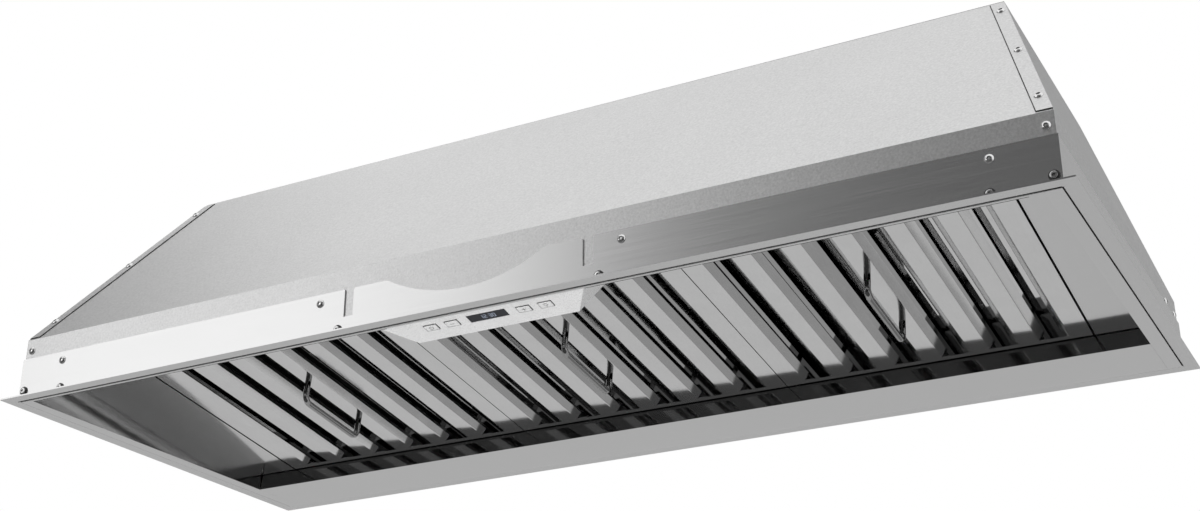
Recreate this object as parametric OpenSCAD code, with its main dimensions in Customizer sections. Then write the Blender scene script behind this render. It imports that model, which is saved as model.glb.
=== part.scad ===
// Range hood insert that is built into the underside of a hood cabinet.
// X runs to the right as seen from the front, Y to the rear and Z up.
// The origin is at the middle of the underside of the trim flange.
// The housing is a hip-roofed sheet metal box. Below it three baffle filters hang in a
// plane that rises to the front, with a sloped light panel and a control box before them.

/* [Overall] */
// Width over the trim flange
flange_w = 1178; // [1100:1:1250]
// Depth over the trim flange
flange_d = 512.5; // [490:0.5:540]
// Height of the housing above the flange's underside
hood_h = 299.5; // [285:0.5:330]

/* [Stainless trim] */
// Sheet thickness of the trim
trim_t = 1.5; // [1.2:0.1:2]
// Radius of the underside of the front flange's bend
trim_bend_r = 3; // [1.5:0.1:3.2]
// Reach of the flange past the band at the front and rear
flange_front = 14; // [10:0.5:20]
// Reach of the flange past the band at each side
flange_side = 13; // [10:0.5:20]
// Height of the front band
band_h = 49; // [46:0.5:60]
// Height of the side bands
side_band_h = 48; // [46:0.5:60]
// Distance from the middle to the inner edge of each notch in the front band
notch_x = 130; // [110:1:160]
// Width of each notch
notch_w = 11; // [8:0.5:14]
// Height of the bottom of each notch
notch_z = 19.6; // [16:0.1:24]
// Radius of the band's corners beside the notches
notch_corner_r = 3; // [1:0.5:5]
// Half width of the bowed dip in the middle of the front band
dip_half_w = 93.5; // [80:0.5:100]
// Depth of the dip
dip_depth = 25; // [20:0.5:28]
// Radius of the crests at the ends of the dip
dip_crest_r = 12; // [8:1:16]

/* [Housing] */
// Sheet thickness of the galvanised housing
sheet_t = 1; // [0.8:0.1:1.4]
// Height of the housing's lower edge
housing_z = 3; // [2.5:0.1:4]
// Height of the fold above which the front and sides lean inward
fold_z = 72; // [66:0.5:80]
// Depth of the flat top behind the sloped front
top_d = 297.1; // [280:0.1:310]
// Run of each sloped side, from the fold to the top
side_run = 74.5; // [60:0.5:85]
// Width of the flange along each hip edge
hip_flange_w = 14; // [11:0.5:18]
// Height above the fold at which the hip flanges start
hip_flange_lift = 3; // [2:0.5:5]

/* [Liner] */
// Sheet thickness of the stainless liner and light panel
liner_t = 1; // [0.8:0.1:1.4]
// Width of the flat strip along each side of the underside
side_strip_w = 14.7; // [12:0.1:18]
// Gap between the liner and the trim at the front
liner_gap = 1.3; // [1:0.1:1.6]
// Gap between the liner and the trim at the sides
liner_side_gap = 0.8; // [0.6:0.1:1.2]
// Gap between the liner and the trim at the rear
liner_rear_gap = 0.5; // [0.3:0.1:0.8]
// Depth of the flat rear panel
rear_panel_d = 82.1; // [76:0.1:90]
// Height of the rear recess wall that shows below the filters
recess_rear_h = 19.7; // [17:0.1:24]
// Lean of the rear recess wall over that height
rear_wall_lean = 2.2; // [2:0.1:3]
// Width of the flat lip along the front of the light panel
front_lip_w = 2.9; // [2.6:0.1:4]
// Height at which the light panel's slope starts
front_lip_z = 1.4; // [1.2:0.1:2]
// Depth of the light panel's slope, up to the flange before the filters
light_panel_d = 91.2; // [86:0.2:96]

/* [Filters] */
// Width of the fixed strip beside the outer filters
filler_w = 54.6; // [50:0.2:60]
// Gap between the outer filters and the fillers
filler_gap = 2.5; // [1:0.1:3]
// Gap between neighbouring filters
filter_gap = 1; // [0.8:0.1:1.5]
// Rise of the filters from their rear to their front edge
filter_rise = 44.8; // [38:0.2:52]
// Gap between the filters and the rear recess wall
filter_rear_gap = 2.2; // [2:0.1:3]
// Sheet thickness of the filter parts
filter_t = 0.8; // [0.6:0.1:1]
// Height of each filter
filter_h = 22; // [21:0.5:24]
// Number of slots in each filter
slot_count = 6; // [4:2:6]
// Width of each slot
slot_w = 32; // [30:0.5:34]
// Length of the frame left at both ends of a slot
slot_end = 6.5; // [5:0.5:8]
// Width of the flat strip outside the outermost slots
edge_flat = 22.3; // [20:0.1:25]
// Run and rise of the turned-up flanks along each slot
flank_run = 7.6; // [5:0.1:8]
// Rise of the flanks
flank_rise = 5.1; // [4.5:0.1:6]
// Gap between the upper baffles' web and the frame's lip
web_gap = 1.7; // [0.3:0.1:2]
// Width of the upper baffles' web
web_w = 22.2; // [18:0.2:24]
// Run of the upper baffles' flanks
web_flank_run = 4.9; // [3:0.1:8]
// Drop of the upper baffles' flanks
web_flank_drop = 3.1; // [2.5:0.1:4]
// Distance from the filter's edge to its frame wall
frame_inset = 10.5; // [10:0.5:12]
// Width of the lip along the top of the frame
frame_lip_w = 7; // [5:0.5:9]

/* [Filter handles] */
// Diameter of the handle rod
handle_d = 7; // [6:0.5:8]
// Distance between the handle's legs
handle_span = 101; // [90:1:110]
// Distance from the filter's underside to the rod's middle
handle_reach = 27.6; // [24:0.2:32]
// Bend radius of the rod's middle line
handle_bend_r = 9; // [8:0.5:12]
// Radius of the threaded end of each leg
handle_stud_r = 2.4; // [2:0.1:3]

/* [Hanger hooks] */
// Radius of the pins that the filters turn on
pivot_r = 2; // [1.6:0.1:2.4]
// Distance from the filter's front edge to the pins' axis
pivot_in = 6; // [5:0.5:8]
// Height of the pins' axis above the filter's underside
pivot_up = 6; // [5:0.5:8]
// Width of each hanger block
hanger_w = 9; // [8:0.5:10]
// Running clearance of the pins in the hooks, on the radius
pivot_clear = 0.05; // [0.02:0.01:0.1]
// Gap between the filters' front edge and the light panel's flange
filter_front_gap = 3.8; // [3.5:0.1:5]

/* [Lamps] */
// Number of lamps in the light panel
lamp_count = 4; // [2:2:4]
// Distance from the middle to the inner lamps
lamp_x_inner = 236; // [200:1:260]
// Distance of the outer lamps from the recess's sides
lamp_in = 129; // [100:1:180]
// Width of each lamp's ring
lamp_ring_w = 7; // [5:0.5:9]
// Radius of each lamp's lens
lamp_lens_r = 26; // [22:1:28]
// Depth of the lamp body behind the panel
lamp_body_h = 24; // [18:1:30]

/* [Control box] */
// Half width of the control face along its rear edge
control_half_w = 92; // [88:1:96]
// Distance from the front lip's rear edge to the face's rear edge
control_reach = 58; // [54:0.5:62]
// Height of the face's rear edge
control_z = 4.3; // [3.5:0.1:6]
// Rise of the face over its run to the front
control_face_angle = 12; // [9:0.5:14]
// Widening of each side per height above the face's rear edge
cheek_flare_up = 1.2; // [0.8:0.05:1.4]
// Widening of each side per distance before the face's rear edge
cheek_flare_front = 0.42; // [0.3:0.02:0.6]
// Wall of the control box
control_wall = 2; // [1.6:0.1:2.4]
// Length of each button along the hood
button_w = 15; // [14:0.5:18]
// Depth of each button
button_d = 9.8; // [9:0.2:14]
// Shift of the buttons and the display to the right of the hood's middle
control_shift = 1.5; // [0:0.1:3]
// Distance from the display's middle to the inner buttons
button_x_inner = 41; // [38:0.5:46]
// Distance from the display's middle to the outer buttons
button_x_outer = 65.3; // [62:0.1:70]
// Distance from the face's rear edge to the buttons' middle, along the face
button_from_edge = 21.6; // [19:0.2:26]
// Travel of the buttons
button_travel = 1; // [0.6:0.1:1.2]
// Width of the display window
display_w = 43.8; // [40:0.2:52]
// Depth of the display window
display_d = 12; // [9:0.2:13]

/* [Blower] */
// Distance from the duct collar's flange to the rear edge of the top
duct_rear_gap = 16.25; // [8:0.25:22]
// Outer radius of the duct collar
duct_r = 100.5; // [98:0.5:102]
// Height of the duct collar above the top panel
duct_h = 36; // [30:1:40]
// Radius of the blower wheel
wheel_r = 70; // [62:1:74]
// Gap between the wheel and the scroll's sides
wheel_side_gap = 9; // [7:0.5:20]
// Number of wheel blades
blade_count = 30; // [20:1:36]
// Gap between the wheel and the round part of the scroll
wheel_gap = 14; // [10:0.5:17]
// Inner width of the scroll
scroll_w = 164; // [155:1:170]
// Depth of the scroll's outlet
outlet_d = 98; // [90:1:102]
// Radius of the inlets in the scroll's sides
inlet_r = 56; // [48:1:60]
// Radius of the motor
motor_r = 40; // [34:1:44]
// Length of the motor
motor_l = 88; // [70:1:100]
// Radius of the motor shaft
shaft_r = 6; // [5:0.5:8]

/* [Wiring] */
// Radius of the cable hole in the top panel
cable_hole_r = 11.1; // [10:0.1:14]
// Distance of the cable hole from the right edge of the top
cable_hole_in = 200; // [160:1:240]
// Distance of the cable hole from the rear edge of the top
cable_hole_rear = 90.75; // [70:0.25:120]
// Radius of the holes for hanging rods in the top panel
hang_hole_r = 4.5; // [3.5:0.1:6]
// Distance of the hanging holes from the side edges of the top
hang_hole_in = 60; // [40:1:100]
// Distance between the hanging holes along Y
hang_span_y = 180; // [150:1:200]

/* [Hidden] */
$fn = 48;

// Small gap between pieces that are fastened face to face on slanted faces
seat_gap = 0.1;
// Gap between a moving piece and a fixed one
run_gap = 0.3;
// Length by which a cut runs past the faces that it cuts
over = 2;

// Trim, seen from the middle of the hood
band_x = flange_w / 2 - flange_side;
band_y = flange_d / 2 - flange_front;
// Housing, seated against the inside of the trim
house_x = band_x - trim_t;
house_y = band_y - trim_t;
top_x = house_x - side_run;
top_y = house_y - top_d;
front_run = top_y + house_y;
slope_rise = hood_h - fold_z;
front_angle = atan2(slope_rise, front_run);
under_top_z = hood_h - sheet_t;

// Liner and recess
strip_x = house_x - liner_side_gap;
recess_x = strip_x - side_strip_w;
rear_y = house_y - liner_rear_gap;
recess_y = rear_y - rear_panel_d;
lip_y = -house_y + liner_gap;
slope_y = lip_y + front_lip_w;
rear_wall_top = recess_rear_h + filter_h + liner_t;
rear_wall_top_y = recess_y + rear_wall_lean * rear_wall_top / recess_rear_h;

// Filters, in a plane that starts at the rear wall and rises to the front
filter_pitch = (recess_x - filler_w) * 2 / 3;
filter_w = filter_pitch - filter_gap;
filter_y = recess_y + rear_wall_lean - filter_rear_gap;
filter_z = recess_rear_h;
panel_end_y = slope_y + light_panel_d;
filter_run = filter_y - panel_end_y - filter_front_gap;
filter_l = norm([filter_run, filter_rise]);
filter_tilt = atan2(filter_rise, filter_run);
bar_w = (filter_w - 2 * edge_flat - slot_count * slot_w) / (slot_count - 1);
slot_pitch = slot_w + bar_w;
slot_xs = [for (i = [0:slot_count - 1]) (i - (slot_count - 1) / 2) * slot_pitch];
frame_x = filter_w / 2 - frame_inset;
frame_top_lip_z = filter_h - filter_t;
web_h = frame_top_lip_z - web_gap - filter_t;
pivot_v = filter_l - pivot_in;
handle_vs = [filter_l / 2 - handle_span / 2, filter_l / 2 + handle_span / 2];
nut_r = 4.6;
nut_h = 4;
hook_z = pivot_up + 2 * pivot_r + over;
hook_bottom_up = 1.6;
hook_rear = 4;
pin_reach = 3;
corner_notch_w = frame_inset;
corner_notch_l = pivot_in + hook_rear + over;
catch_up = 12;
catch_w = 20;
catch_l = 12;
catch_t = 0.4;

// A point of the filter plane as [y, z]: v towards the front, h above the underside
function fp(v, h) = [
    filter_y - v * cos(filter_tilt) + h * sin(filter_tilt),
    filter_z + v * sin(filter_tilt) + h * cos(filter_tilt)
];
// Height of the filter plane at a given y
function plane_z(y) = filter_z + (filter_y - y) * tan(filter_tilt);

// Light panel, from the front lip up to the flange before the filters
panel_end_z = fp(filter_l, 0)[1] - liner_t;
panel_angle = atan2(panel_end_z - front_lip_z, panel_end_y - slope_y);
panel_flange_z = fp(filter_l, hook_z)[1];
function panel_z(y) = front_lip_z + (y - slope_y) * tan(panel_angle);
lamp_y = (slope_y + panel_end_y) / 2;
lamp_z = panel_z(lamp_y);
lamp_x_outer = recess_x - lamp_in;
lamp_xs = lamp_count > 2
    ? [-lamp_x_outer, -lamp_x_inner, lamp_x_inner, lamp_x_outer]
    : [-lamp_x_inner, lamp_x_inner];
lamp_lens_t = 3;
lamp_ring_t = 2;
lamp_ring_r = lamp_lens_r + lamp_ring_w;
lamp_body_r = lamp_lens_r - liner_t;

// Control box
control_y = slope_y + control_reach;
control_tan = tan(control_face_angle);
cheek_reach = 4 * control_half_w;
cheek_azimuth = atan2(cheek_flare_front, 1);
cheek_elevation = atan2(-cheek_flare_up, norm([1, cheek_flare_front]));
button_clear = 0.35;
button_back_gap = 0.25;
button_proud = 0.8;
button_flange = 1.5;
button_flange_t = 1.2;
display_clear = 0.1;
display_t = 2.6;
display_from_edge = 22.2;
board_t = 1.6;
board_d = 20;
switch_r = 1.75;
switch_h = 4;
board_gap = control_wall + button_back_gap + button_flange_t + button_travel + run_gap
    + switch_h;
post_r = 3;
post_gap = 4;
post_x = button_x_outer + button_w / 2 + button_flange + post_gap + post_r;
board_edge = 1;
board_w = 2 * (post_x + post_r + board_edge);

// Blower
duct_t = 1;
duct_flange_w = 14;
duct_y = house_y - duct_rear_gap - duct_flange_w - duct_r;
stop_w = 4;
stop_up = 12;
damper_t = 1;
damper_axis_up = stop_up + run_gap + damper_t / 2;
damper_rod_r = 2;
damper_bore_clear = 0.05;
knuckle_r = 3.5;
knuckle_l = 18;
knuckle_xs = [-62, -38, 24, 48];
flap_r = duct_r - duct_t - over;
flap_edge = 4.5;
scroll_t = 1.2;
wheel_back = 34;
wheel_y = duct_y + wheel_back;
wheel_height_share = 0.529;
wheel_z = rear_wall_top + (under_top_z - rear_wall_top) * wheel_height_share;
wheel_w = scroll_w - 2 * wheel_side_gap;
scroll_r = wheel_r + wheel_gap;
wheel_t = 2;
blade_l = 12;
blade_t = 1;
blade_angle = 32;
hub_r = 18;
hub_l = 34;
ring_w = 12;
inlet_ring_h = 8;
shaft_clear = 0.05;
motor_gap = 14;
motor_boss_l = 4;
motor_band_w = 20;
motor_x = scroll_w / 2 + scroll_t + motor_gap;
arm_w = 14;
arm_t = 2;
arm_count = 3;
capacitor_r = 17;
capacitor_l = 62;
capacitor_gap = 1;
capacitor_clip_w = 14;
capacitor_drop = 2;
outlet_y0 = duct_y - outlet_d / 2;

// Wiring boxes
junction_w = 110;
junction_d = 70;
junction_h = 46;
box_t = 1.2;
driver_w = 150;
driver_d = 44;
driver_h = 28;
cable_hole_x = top_x - cable_hole_in;
cable_hole_y = house_y - cable_hole_rear;
driver_x = -cable_hole_x;
hang_span_x = 2 * (top_x - hang_hole_in);

// Fasteners
screw_head_r = 4.3;
screw_head_h = 2.4;
screw_rim_h = 0.6;
screw_shank_r = 1.9;
screw_hole_r = 2;
screw_l = 5;
recess_r = 2.1;
recess_depth = 1.2;
trim_screw_in = 59;
trim_screw_past_notch = 40.6;
trim_screw_drop = 10;
trim_screw_z = band_h - trim_screw_drop;
galv_screw_in = 8;
galv_screw_share = 0.422;
galv_screw_z = band_h + (fold_z - band_h) * galv_screw_share;
side_screw_rears = [54.75, 12.75];
side_screw_up = 4.8;
side_screw_z = side_band_h + side_screw_up;
hip_screw_shares = [0.118, 0.515, 0.904];
corner_in = 7;
corner_z = 11.5;
socket_in = 61;
socket_past_notch = 17;
socket_z = 6.8;
washer_r = 5;
washer_t = 1;
socket_head_r = 3.3;
socket_head_h = 1.8;
socket_r = 1.6;
socket_shank_r = 2.2;

// Colours
steel = "#b4b4b2";
satin = "#a4a4a2";
zinc = "#c4c6c6";
chrome = "#dcdcdc";
black = "#202020";

// Profile in YZ, extruded along X about the middle
module along_x(length) {
    rotate([90, 0, 90])
        linear_extrude(length, center = true)
            children();
}

// Profile in XZ, extruded along Y about the middle
module along_y(length) {
    rotate([90, 0, 0])
        linear_extrude(length, center = true)
            children();
}

// Puts its child on the filter plane: Y towards the rear edge, Z out of the plane
module on_filter_plane(x) {
    translate([x, filter_y, filter_z])
        rotate([-filter_tilt, 0, 0])
            children();
}

// Points of a sheet that stands up to a fold and then leans in by run over rise
function leaning_sheet(low, fold, run, rise, top, t) =
    let (lean = atan2(rise, run))
    [
        [0, low],
        [0, fold],
        [(top - fold) / tan(lean), top],
        [(top - fold) / tan(lean) + t / sin(lean), top],
        [t, fold - t * tan((90 - lean) / 2)],
        [t, low]
    ];

// Domed screw with a six-sided recess, head outwards along +Z and the seat at zero
module dome_screw() {
    dome_h = screw_head_h - screw_rim_h;
    dome_r = (screw_head_r * screw_head_r + dome_h * dome_h) / (2 * dome_h);
    difference() {
        union() {
            intersection() {
                cylinder(h = screw_head_h, r = screw_head_r);
                translate([0, 0, screw_head_h - dome_r])
                    sphere(r = dome_r);
            }
            translate([0, 0, -screw_l])
                cylinder(h = screw_l, r = screw_shank_r);
        }
        translate([0, 0, screw_head_h - recess_depth])
            cylinder(h = recess_depth + over, r = recess_r, $fn = 6);
    }
}

// Places for the screws of the front band, facing the front
module at_trim_screws() {
    for (side = [-1, 1], x = [notch_x + trim_screw_past_notch, band_x - trim_screw_in])
        translate([side * x, -band_y, trim_screw_z])
            rotate([90, 0, 0])
                children();
}

// Places for the screws at the upper corners of the housing front
module at_housing_corner_screws() {
    for (x = [-house_x + galv_screw_in, house_x - galv_screw_in])
        translate([x, -house_y, galv_screw_z])
            rotate([90, 0, 0])
                children();
}

// Places for the screws along one hip flange, side is 1 on the right and -1 on the left
module at_hip_screws(side, lift) {
    for (s = hip_screw_shares) {
        z = fold_z + slope_rise * s;
        x = house_x - side_run * s - hip_flange_w / 2;
        y = -house_y + front_run * s;
        translate([side * x, y, z])
            rotate([front_angle, 0, 0])
                translate([0, 0, lift])
                    children();
    }
}

// Places for the screws of one side
module at_side_screws(side, x) {
    for (rear = side_screw_rears)
        translate([side * x, house_y - rear, side_screw_z])
            rotate([0, side * 90, 0])
                children();
}

// Places for the socket screws at the corners and along the foot of the front band
module at_socket_screws() {
    for (x = [-band_x + corner_in, band_x - corner_in])
        translate([x, -band_y, corner_z])
            rotate([90, 0, 0])
                children();
    for (side = [-1, 1], x = [notch_x + socket_past_notch, band_x - socket_in])
        translate([side * x, -band_y, socket_z])
            rotate([90, 0, 0])
                children();
}

// Shape that a hole for a screw takes out
module screw_hole(r) {
    cylinder(h = 2 * screw_l, r = r, center = true);
}

// Housing

module housing_front() {
    inner_x = house_x - sheet_t - seat_gap;
    lean = side_run / slope_rise;
    color(zinc)
        difference() {
            intersection() {
                translate([0, -house_y, 0])
                    along_x(flange_w)
                        polygon(leaning_sheet(housing_z, fold_z, front_run, slope_rise,
                            under_top_z - seat_gap, sheet_t));
                along_y(flange_d)
                    polygon([
                        [-inner_x, 0],
                        [inner_x, 0],
                        [inner_x, fold_z],
                        [inner_x - slope_rise * lean, hood_h],
                        [-inner_x + slope_rise * lean, hood_h],
                        [-inner_x, fold_z]
                    ]);
            }
            at_trim_screws()
                screw_hole(screw_hole_r);
            at_housing_corner_screws()
                screw_hole(screw_hole_r);
            at_socket_screws()
                screw_hole(socket_shank_r + seat_gap);
            for (side = [-1, 1])
                at_hip_screws(side, 0)
                    screw_hole(screw_hole_r);
        }
}

// Point [y, z] on the sloped front's outer face at a given height
function slope_point(z) = [-house_y + (z - fold_z) / tan(front_angle), z];

// One side sheet with the flange that lies on the sloped front along the hip edge
module housing_side(side) {
    hip_out = [sheet_t / sin(front_angle), 0];
    flange_z = fold_z + hip_flange_lift;
    flange_top_z = under_top_z - hip_flange_lift;
    top_z = under_top_z - seat_gap;
    color(zinc)
        mirror([side < 0 ? 1 : 0, 0, 0])
            difference() {
                union() {
                    intersection() {
                        translate([house_x, 0, 0])
                            mirror([1, 0, 0])
                                along_y(flange_d)
                                    polygon(leaning_sheet(housing_z, fold_z, side_run, slope_rise,
                                        top_z, sheet_t));
                        along_x(flange_w)
                            polygon([
                                [-house_y, housing_z],
                                [-house_y, fold_z],
                                slope_point(flange_z),
                                slope_point(flange_z) - hip_out / 2,
                                slope_point(flange_top_z) - hip_out / 2,
                                slope_point(flange_top_z),
                                slope_point(top_z),
                                [house_y, top_z],
                                [house_y, housing_z]
                            ]);
                    }
                    intersection() {
                        along_x(flange_w)
                            polygon([
                                slope_point(flange_z) - hip_out,
                                slope_point(flange_top_z) - hip_out,
                                slope_point(flange_top_z),
                                slope_point(flange_z)
                            ]);
                        along_y(flange_d)
                            polygon([
                                [house_x - sheet_t / 2, fold_z],
                                [house_x - side_run - sheet_t / 2, hood_h],
                                [house_x - side_run - hip_flange_w, hood_h],
                                [house_x - hip_flange_w, fold_z]
                            ]);
                    }
                }
                at_hip_screws(1, 0)
                    screw_hole(screw_hole_r);
                at_side_screws(1, house_x)
                    screw_hole(screw_hole_r);
            }
}

module housing_left() {
    housing_side(-1);
}

module housing_right() {
    housing_side(1);
}

module housing_back() {
    inner_x = house_x - sheet_t - seat_gap;
    lean = side_run / slope_rise;
    color(zinc)
        translate([0, house_y - sheet_t / 2, 0])
            along_y(sheet_t)
                polygon([
                    [-inner_x, housing_z],
                    [inner_x, housing_z],
                    [inner_x, fold_z],
                    [inner_x - (under_top_z - seat_gap - fold_z) * lean, under_top_z - seat_gap],
                    [-inner_x + (under_top_z - seat_gap - fold_z) * lean, under_top_z - seat_gap],
                    [-inner_x, fold_z]
                ]);
}

module housing_top() {
    color(zinc)
        difference() {
            translate([-top_x, top_y, under_top_z])
                cube([2 * top_x, house_y - top_y, sheet_t]);
            translate([0, duct_y, under_top_z - over])
                cylinder(h = sheet_t + 2 * over, r = duct_r - duct_t);
            translate([cable_hole_x, cable_hole_y, under_top_z - over])
                cylinder(h = sheet_t + 2 * over, r = cable_hole_r);
            for (sx = [-1, 1], sy = [-1, 1])
                translate([sx * hang_span_x / 2, duct_y + sy * hang_span_y / 2, under_top_z - over])
                    cylinder(h = sheet_t + 2 * over, r = hang_hole_r);
        }
}

// Trim

// Profile of a band with its flange, the band's outer face at zero, flange to -X
module trim_profile(reach, height) {
    translate([-reach, 0])
        square([reach, trim_t]);
    translate([0, trim_t])
        square([trim_t, height - trim_t]);
    intersection() {
        translate([0, trim_t])
            circle(r = trim_t);
        square([trim_t, trim_t]);
    }
}

// Outline of the bowed dip in the band's upper edge, seen from the front
module dip_cut() {
    radii = (dip_half_w * dip_half_w + dip_depth * dip_depth) / (2 * dip_depth);
    bowl_r = radii - dip_crest_r;
    bowl_z = band_h - dip_depth + bowl_r;
    touch = bowl_r / radii;
    touch_x = dip_half_w * touch;
    touch_z = bowl_z + (band_h - dip_crest_r - bowl_z) * touch;
    difference() {
        union() {
            intersection() {
                translate([0, bowl_z])
                    circle(r = bowl_r, $fn = 96);
                translate([-touch_x, band_h - dip_depth - over])
                    square([2 * touch_x, dip_depth + 2 * over]);
            }
            translate([-dip_half_w, touch_z])
                square([2 * dip_half_w, band_h - touch_z + over]);
        }
        for (side = [-1, 1])
            translate([side * dip_half_w, band_h - dip_crest_r])
                circle(r = dip_crest_r);
    }
}

// Outline of the right notch, with a rounded corner towards the dip
module notch_cut() {
    translate([notch_x, notch_z])
        square([notch_w, band_h]);
    difference() {
        translate([notch_x - notch_corner_r, band_h - notch_corner_r])
            square([notch_corner_r + over, notch_corner_r + over]);
        translate([notch_x - notch_corner_r, band_h - notch_corner_r])
            circle(r = notch_corner_r);
    }
}

// Round underside of the bend, cut from a trim profile
module bend_cut() {
    difference() {
        translate([trim_t - trim_bend_r, -over])
            square([trim_bend_r + over, trim_bend_r + over]);
        translate([trim_t - trim_bend_r, trim_bend_r])
            circle(r = trim_bend_r);
    }
}

module trim_front() {
    color(steel)
        difference() {
            union() {
                intersection() {
                    translate([0, -band_y, 0])
                        along_x(flange_w)
                            trim_profile(flange_front, band_h);
                    translate([-band_x, -band_y, 0])
                        cube([2 * band_x, trim_t, band_h]);
                }
                translate([-flange_w / 2, -flange_d / 2, 0])
                    cube([flange_w, flange_front, trim_t]);
            }
            translate([0, -band_y, 0])
                along_y(2 * (trim_t + over))
                    dip_cut();
            for (side = [0, 1])
                mirror([side, 0, 0])
                    translate([0, -band_y, 0])
                        along_y(2 * (trim_t + over))
                            notch_cut();
            translate([0, -band_y, 0])
                along_x(2 * house_x)
                    bend_cut();
            at_trim_screws()
                screw_hole(screw_hole_r);
            at_socket_screws()
                screw_hole(socket_shank_r + seat_gap);
        }
}

module trim_side(side) {
    color(steel)
        mirror([side < 0 ? 1 : 0, 0, 0]) {
            translate([band_x, 0, 0])
                mirror([1, 0, 0])
                    along_y(2 * (band_y - trim_t))
                        trim_profile(flange_side, side_band_h);
            translate([band_x, -band_y, 0])
                cube([flange_side, 2 * band_y, trim_t]);
        }
}

module trim_left() {
    trim_side(-1);
}

module trim_right() {
    trim_side(1);
}

module trim_rear() {
    color(steel) {
        translate([0, band_y, 0])
            mirror([0, 1, 0])
                along_x(2 * band_x)
                    trim_profile(flange_front, side_band_h);
        for (x = [-flange_w / 2, band_x])
            translate([x, band_y, 0])
                cube([flange_side, flange_front, trim_t]);
    }
}

// Liner

// One side of the recess: flat strip, upright wall and the filler beside the filters
module liner_side(side) {
    y0 = lip_y + front_lip_w + seat_gap;
    y1 = recess_y - seat_gap;
    filler_x = recess_x - filler_w - filter_gap / 2 + filler_gap;
    color(satin)
        mirror([side < 0 ? 1 : 0, 0, 0]) {
            translate([recess_x, lip_y, 0])
                cube([side_strip_w, rear_y - lip_y, liner_t]);
            intersection() {
                translate([recess_x, y0, 0])
                    cube([liner_t, y1 - y0, hood_h]);
                along_x(flange_w)
                    polygon([
                        [y0, 0],
                        [y1, 0],
                        [y1, plane_z(y1) + liner_t / 2],
                        [panel_end_y, plane_z(panel_end_y) + liner_t / 2],
                        [y0, front_lip_z + liner_t]
                    ]);
            }
            translate([filler_x, filter_y, filter_z])
                rotate([-filter_tilt, 0, 0])
                    translate([0, -filter_l, 0])
                        cube([recess_x - filler_x + liner_t / 2, filter_l, liner_t]);
        }
}

module liner_left() {
    liner_side(-1);
}

module liner_right() {
    liner_side(1);
}

module liner_rear() {
    color(satin)
        along_x(2 * (recess_x - seat_gap))
            polygon([
                [recess_y, 0],
                [rear_y, 0],
                [rear_y, liner_t],
                [recess_y + liner_t, liner_t],
                [rear_wall_top_y + liner_t, rear_wall_top - liner_t],
                [house_y - sheet_t, rear_wall_top - liner_t],
                [house_y - sheet_t, rear_wall_top],
                [rear_wall_top_y, rear_wall_top]
            ]);
}

module light_panel() {
    inner_x = recess_x - seat_gap;
    color(satin)
        difference() {
            along_x(2 * inner_x)
                polygon([
                    [lip_y, front_lip_z + liner_t],
                    [lip_y, 0],
                    [slope_y, 0],
                    [slope_y, front_lip_z],
                    [panel_end_y - liner_t, panel_z(panel_end_y - liner_t)],
                    [panel_end_y, panel_end_z],
                    [panel_end_y, panel_flange_z],
                    [panel_end_y - liner_t, panel_flange_z],
                    [panel_end_y - liner_t, panel_z(panel_end_y - liner_t) + liner_t / cos(panel_angle)],
                    [slope_y - liner_t, panel_z(slope_y - liner_t) + liner_t / cos(panel_angle)],
                    [slope_y - liner_t, liner_t],
                    [lip_y + liner_t, liner_t],
                    [lip_y + liner_t, front_lip_z + liner_t]
                ]);
            at_lamps()
                cylinder(h = 2 * liner_t + 2 * over, r = lamp_body_r + seat_gap, center = true);
        }
}

// Places for the lamps, Z pointing out of the light panel's lower face
module at_lamps() {
    for (x = lamp_xs)
        translate([x, lamp_y, lamp_z])
            rotate([panel_angle, 0, 0])
                mirror([0, 0, 1])
                    children();
}

module lamp_rings() {
    color(chrome)
        at_lamps()
            rotate_extrude()
                polygon([
                    [lamp_lens_r + seat_gap, 0],
                    [lamp_ring_r, 0],
                    [lamp_ring_r, lamp_ring_t / 2],
                    [lamp_ring_r - lamp_ring_t, lamp_ring_t],
                    [lamp_lens_r + seat_gap, lamp_ring_t]
                ]);
}

module lamp_lenses() {
    color("white")
        at_lamps()
            cylinder(h = lamp_lens_t / 2, r = lamp_lens_r);
}

module lamp_bodies() {
    color(black)
        at_lamps()
            translate([0, 0, -lamp_body_h])
                cylinder(h = lamp_body_h, r = lamp_body_r);
}

// Control box

// Solid wedge of the control box, drawn in by a wall on its lower faces and cheeks
module control_wedge(wall) {
    rear = control_y - wall;
    rise = wall / cos(control_face_angle);
    foot = wall > 0 ? over : 0;
    meet = (front_lip_z - control_z - rise + foot - slope_y * tan(panel_angle)
        - control_y * control_tan) / (-tan(panel_angle) - control_tan);
    intersection() {
        along_x(2 * cheek_reach)
            polygon([
                [rear, control_z + (control_y - rear) * control_tan + rise],
                [rear, panel_z(rear) + foot],
                [meet, panel_z(meet) + foot]
            ]);
        cheek_side(wall);
        mirror([1, 0, 0])
            cheek_side(wall);
    }
}

// Everything on the inner side of the right cheek
module cheek_side(wall) {
    translate([control_half_w, control_y, control_z])
        rotate([0, -cheek_elevation, cheek_azimuth])
            translate([-wall - 2 * cheek_reach, -cheek_reach, -cheek_reach])
                cube(2 * cheek_reach);
}

// Places on the control face: x along it from the display's middle, from_edge forward along it, Z out of it
module on_control_face(x, from_edge) {
    translate([x + control_shift, control_y, control_z])
        rotate([-control_face_angle, 0, 0])
            translate([0, -from_edge, 0])
                mirror([0, 0, 1])
                    children();
}

// Flat plate in the middle of its own width and depth
module plate(w, d, low, high) {
    translate([-w / 2, -d / 2, low])
        cube([w, d, high - low]);
}

button_xs = [-button_x_outer, -button_x_inner, button_x_inner, button_x_outer];

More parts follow.
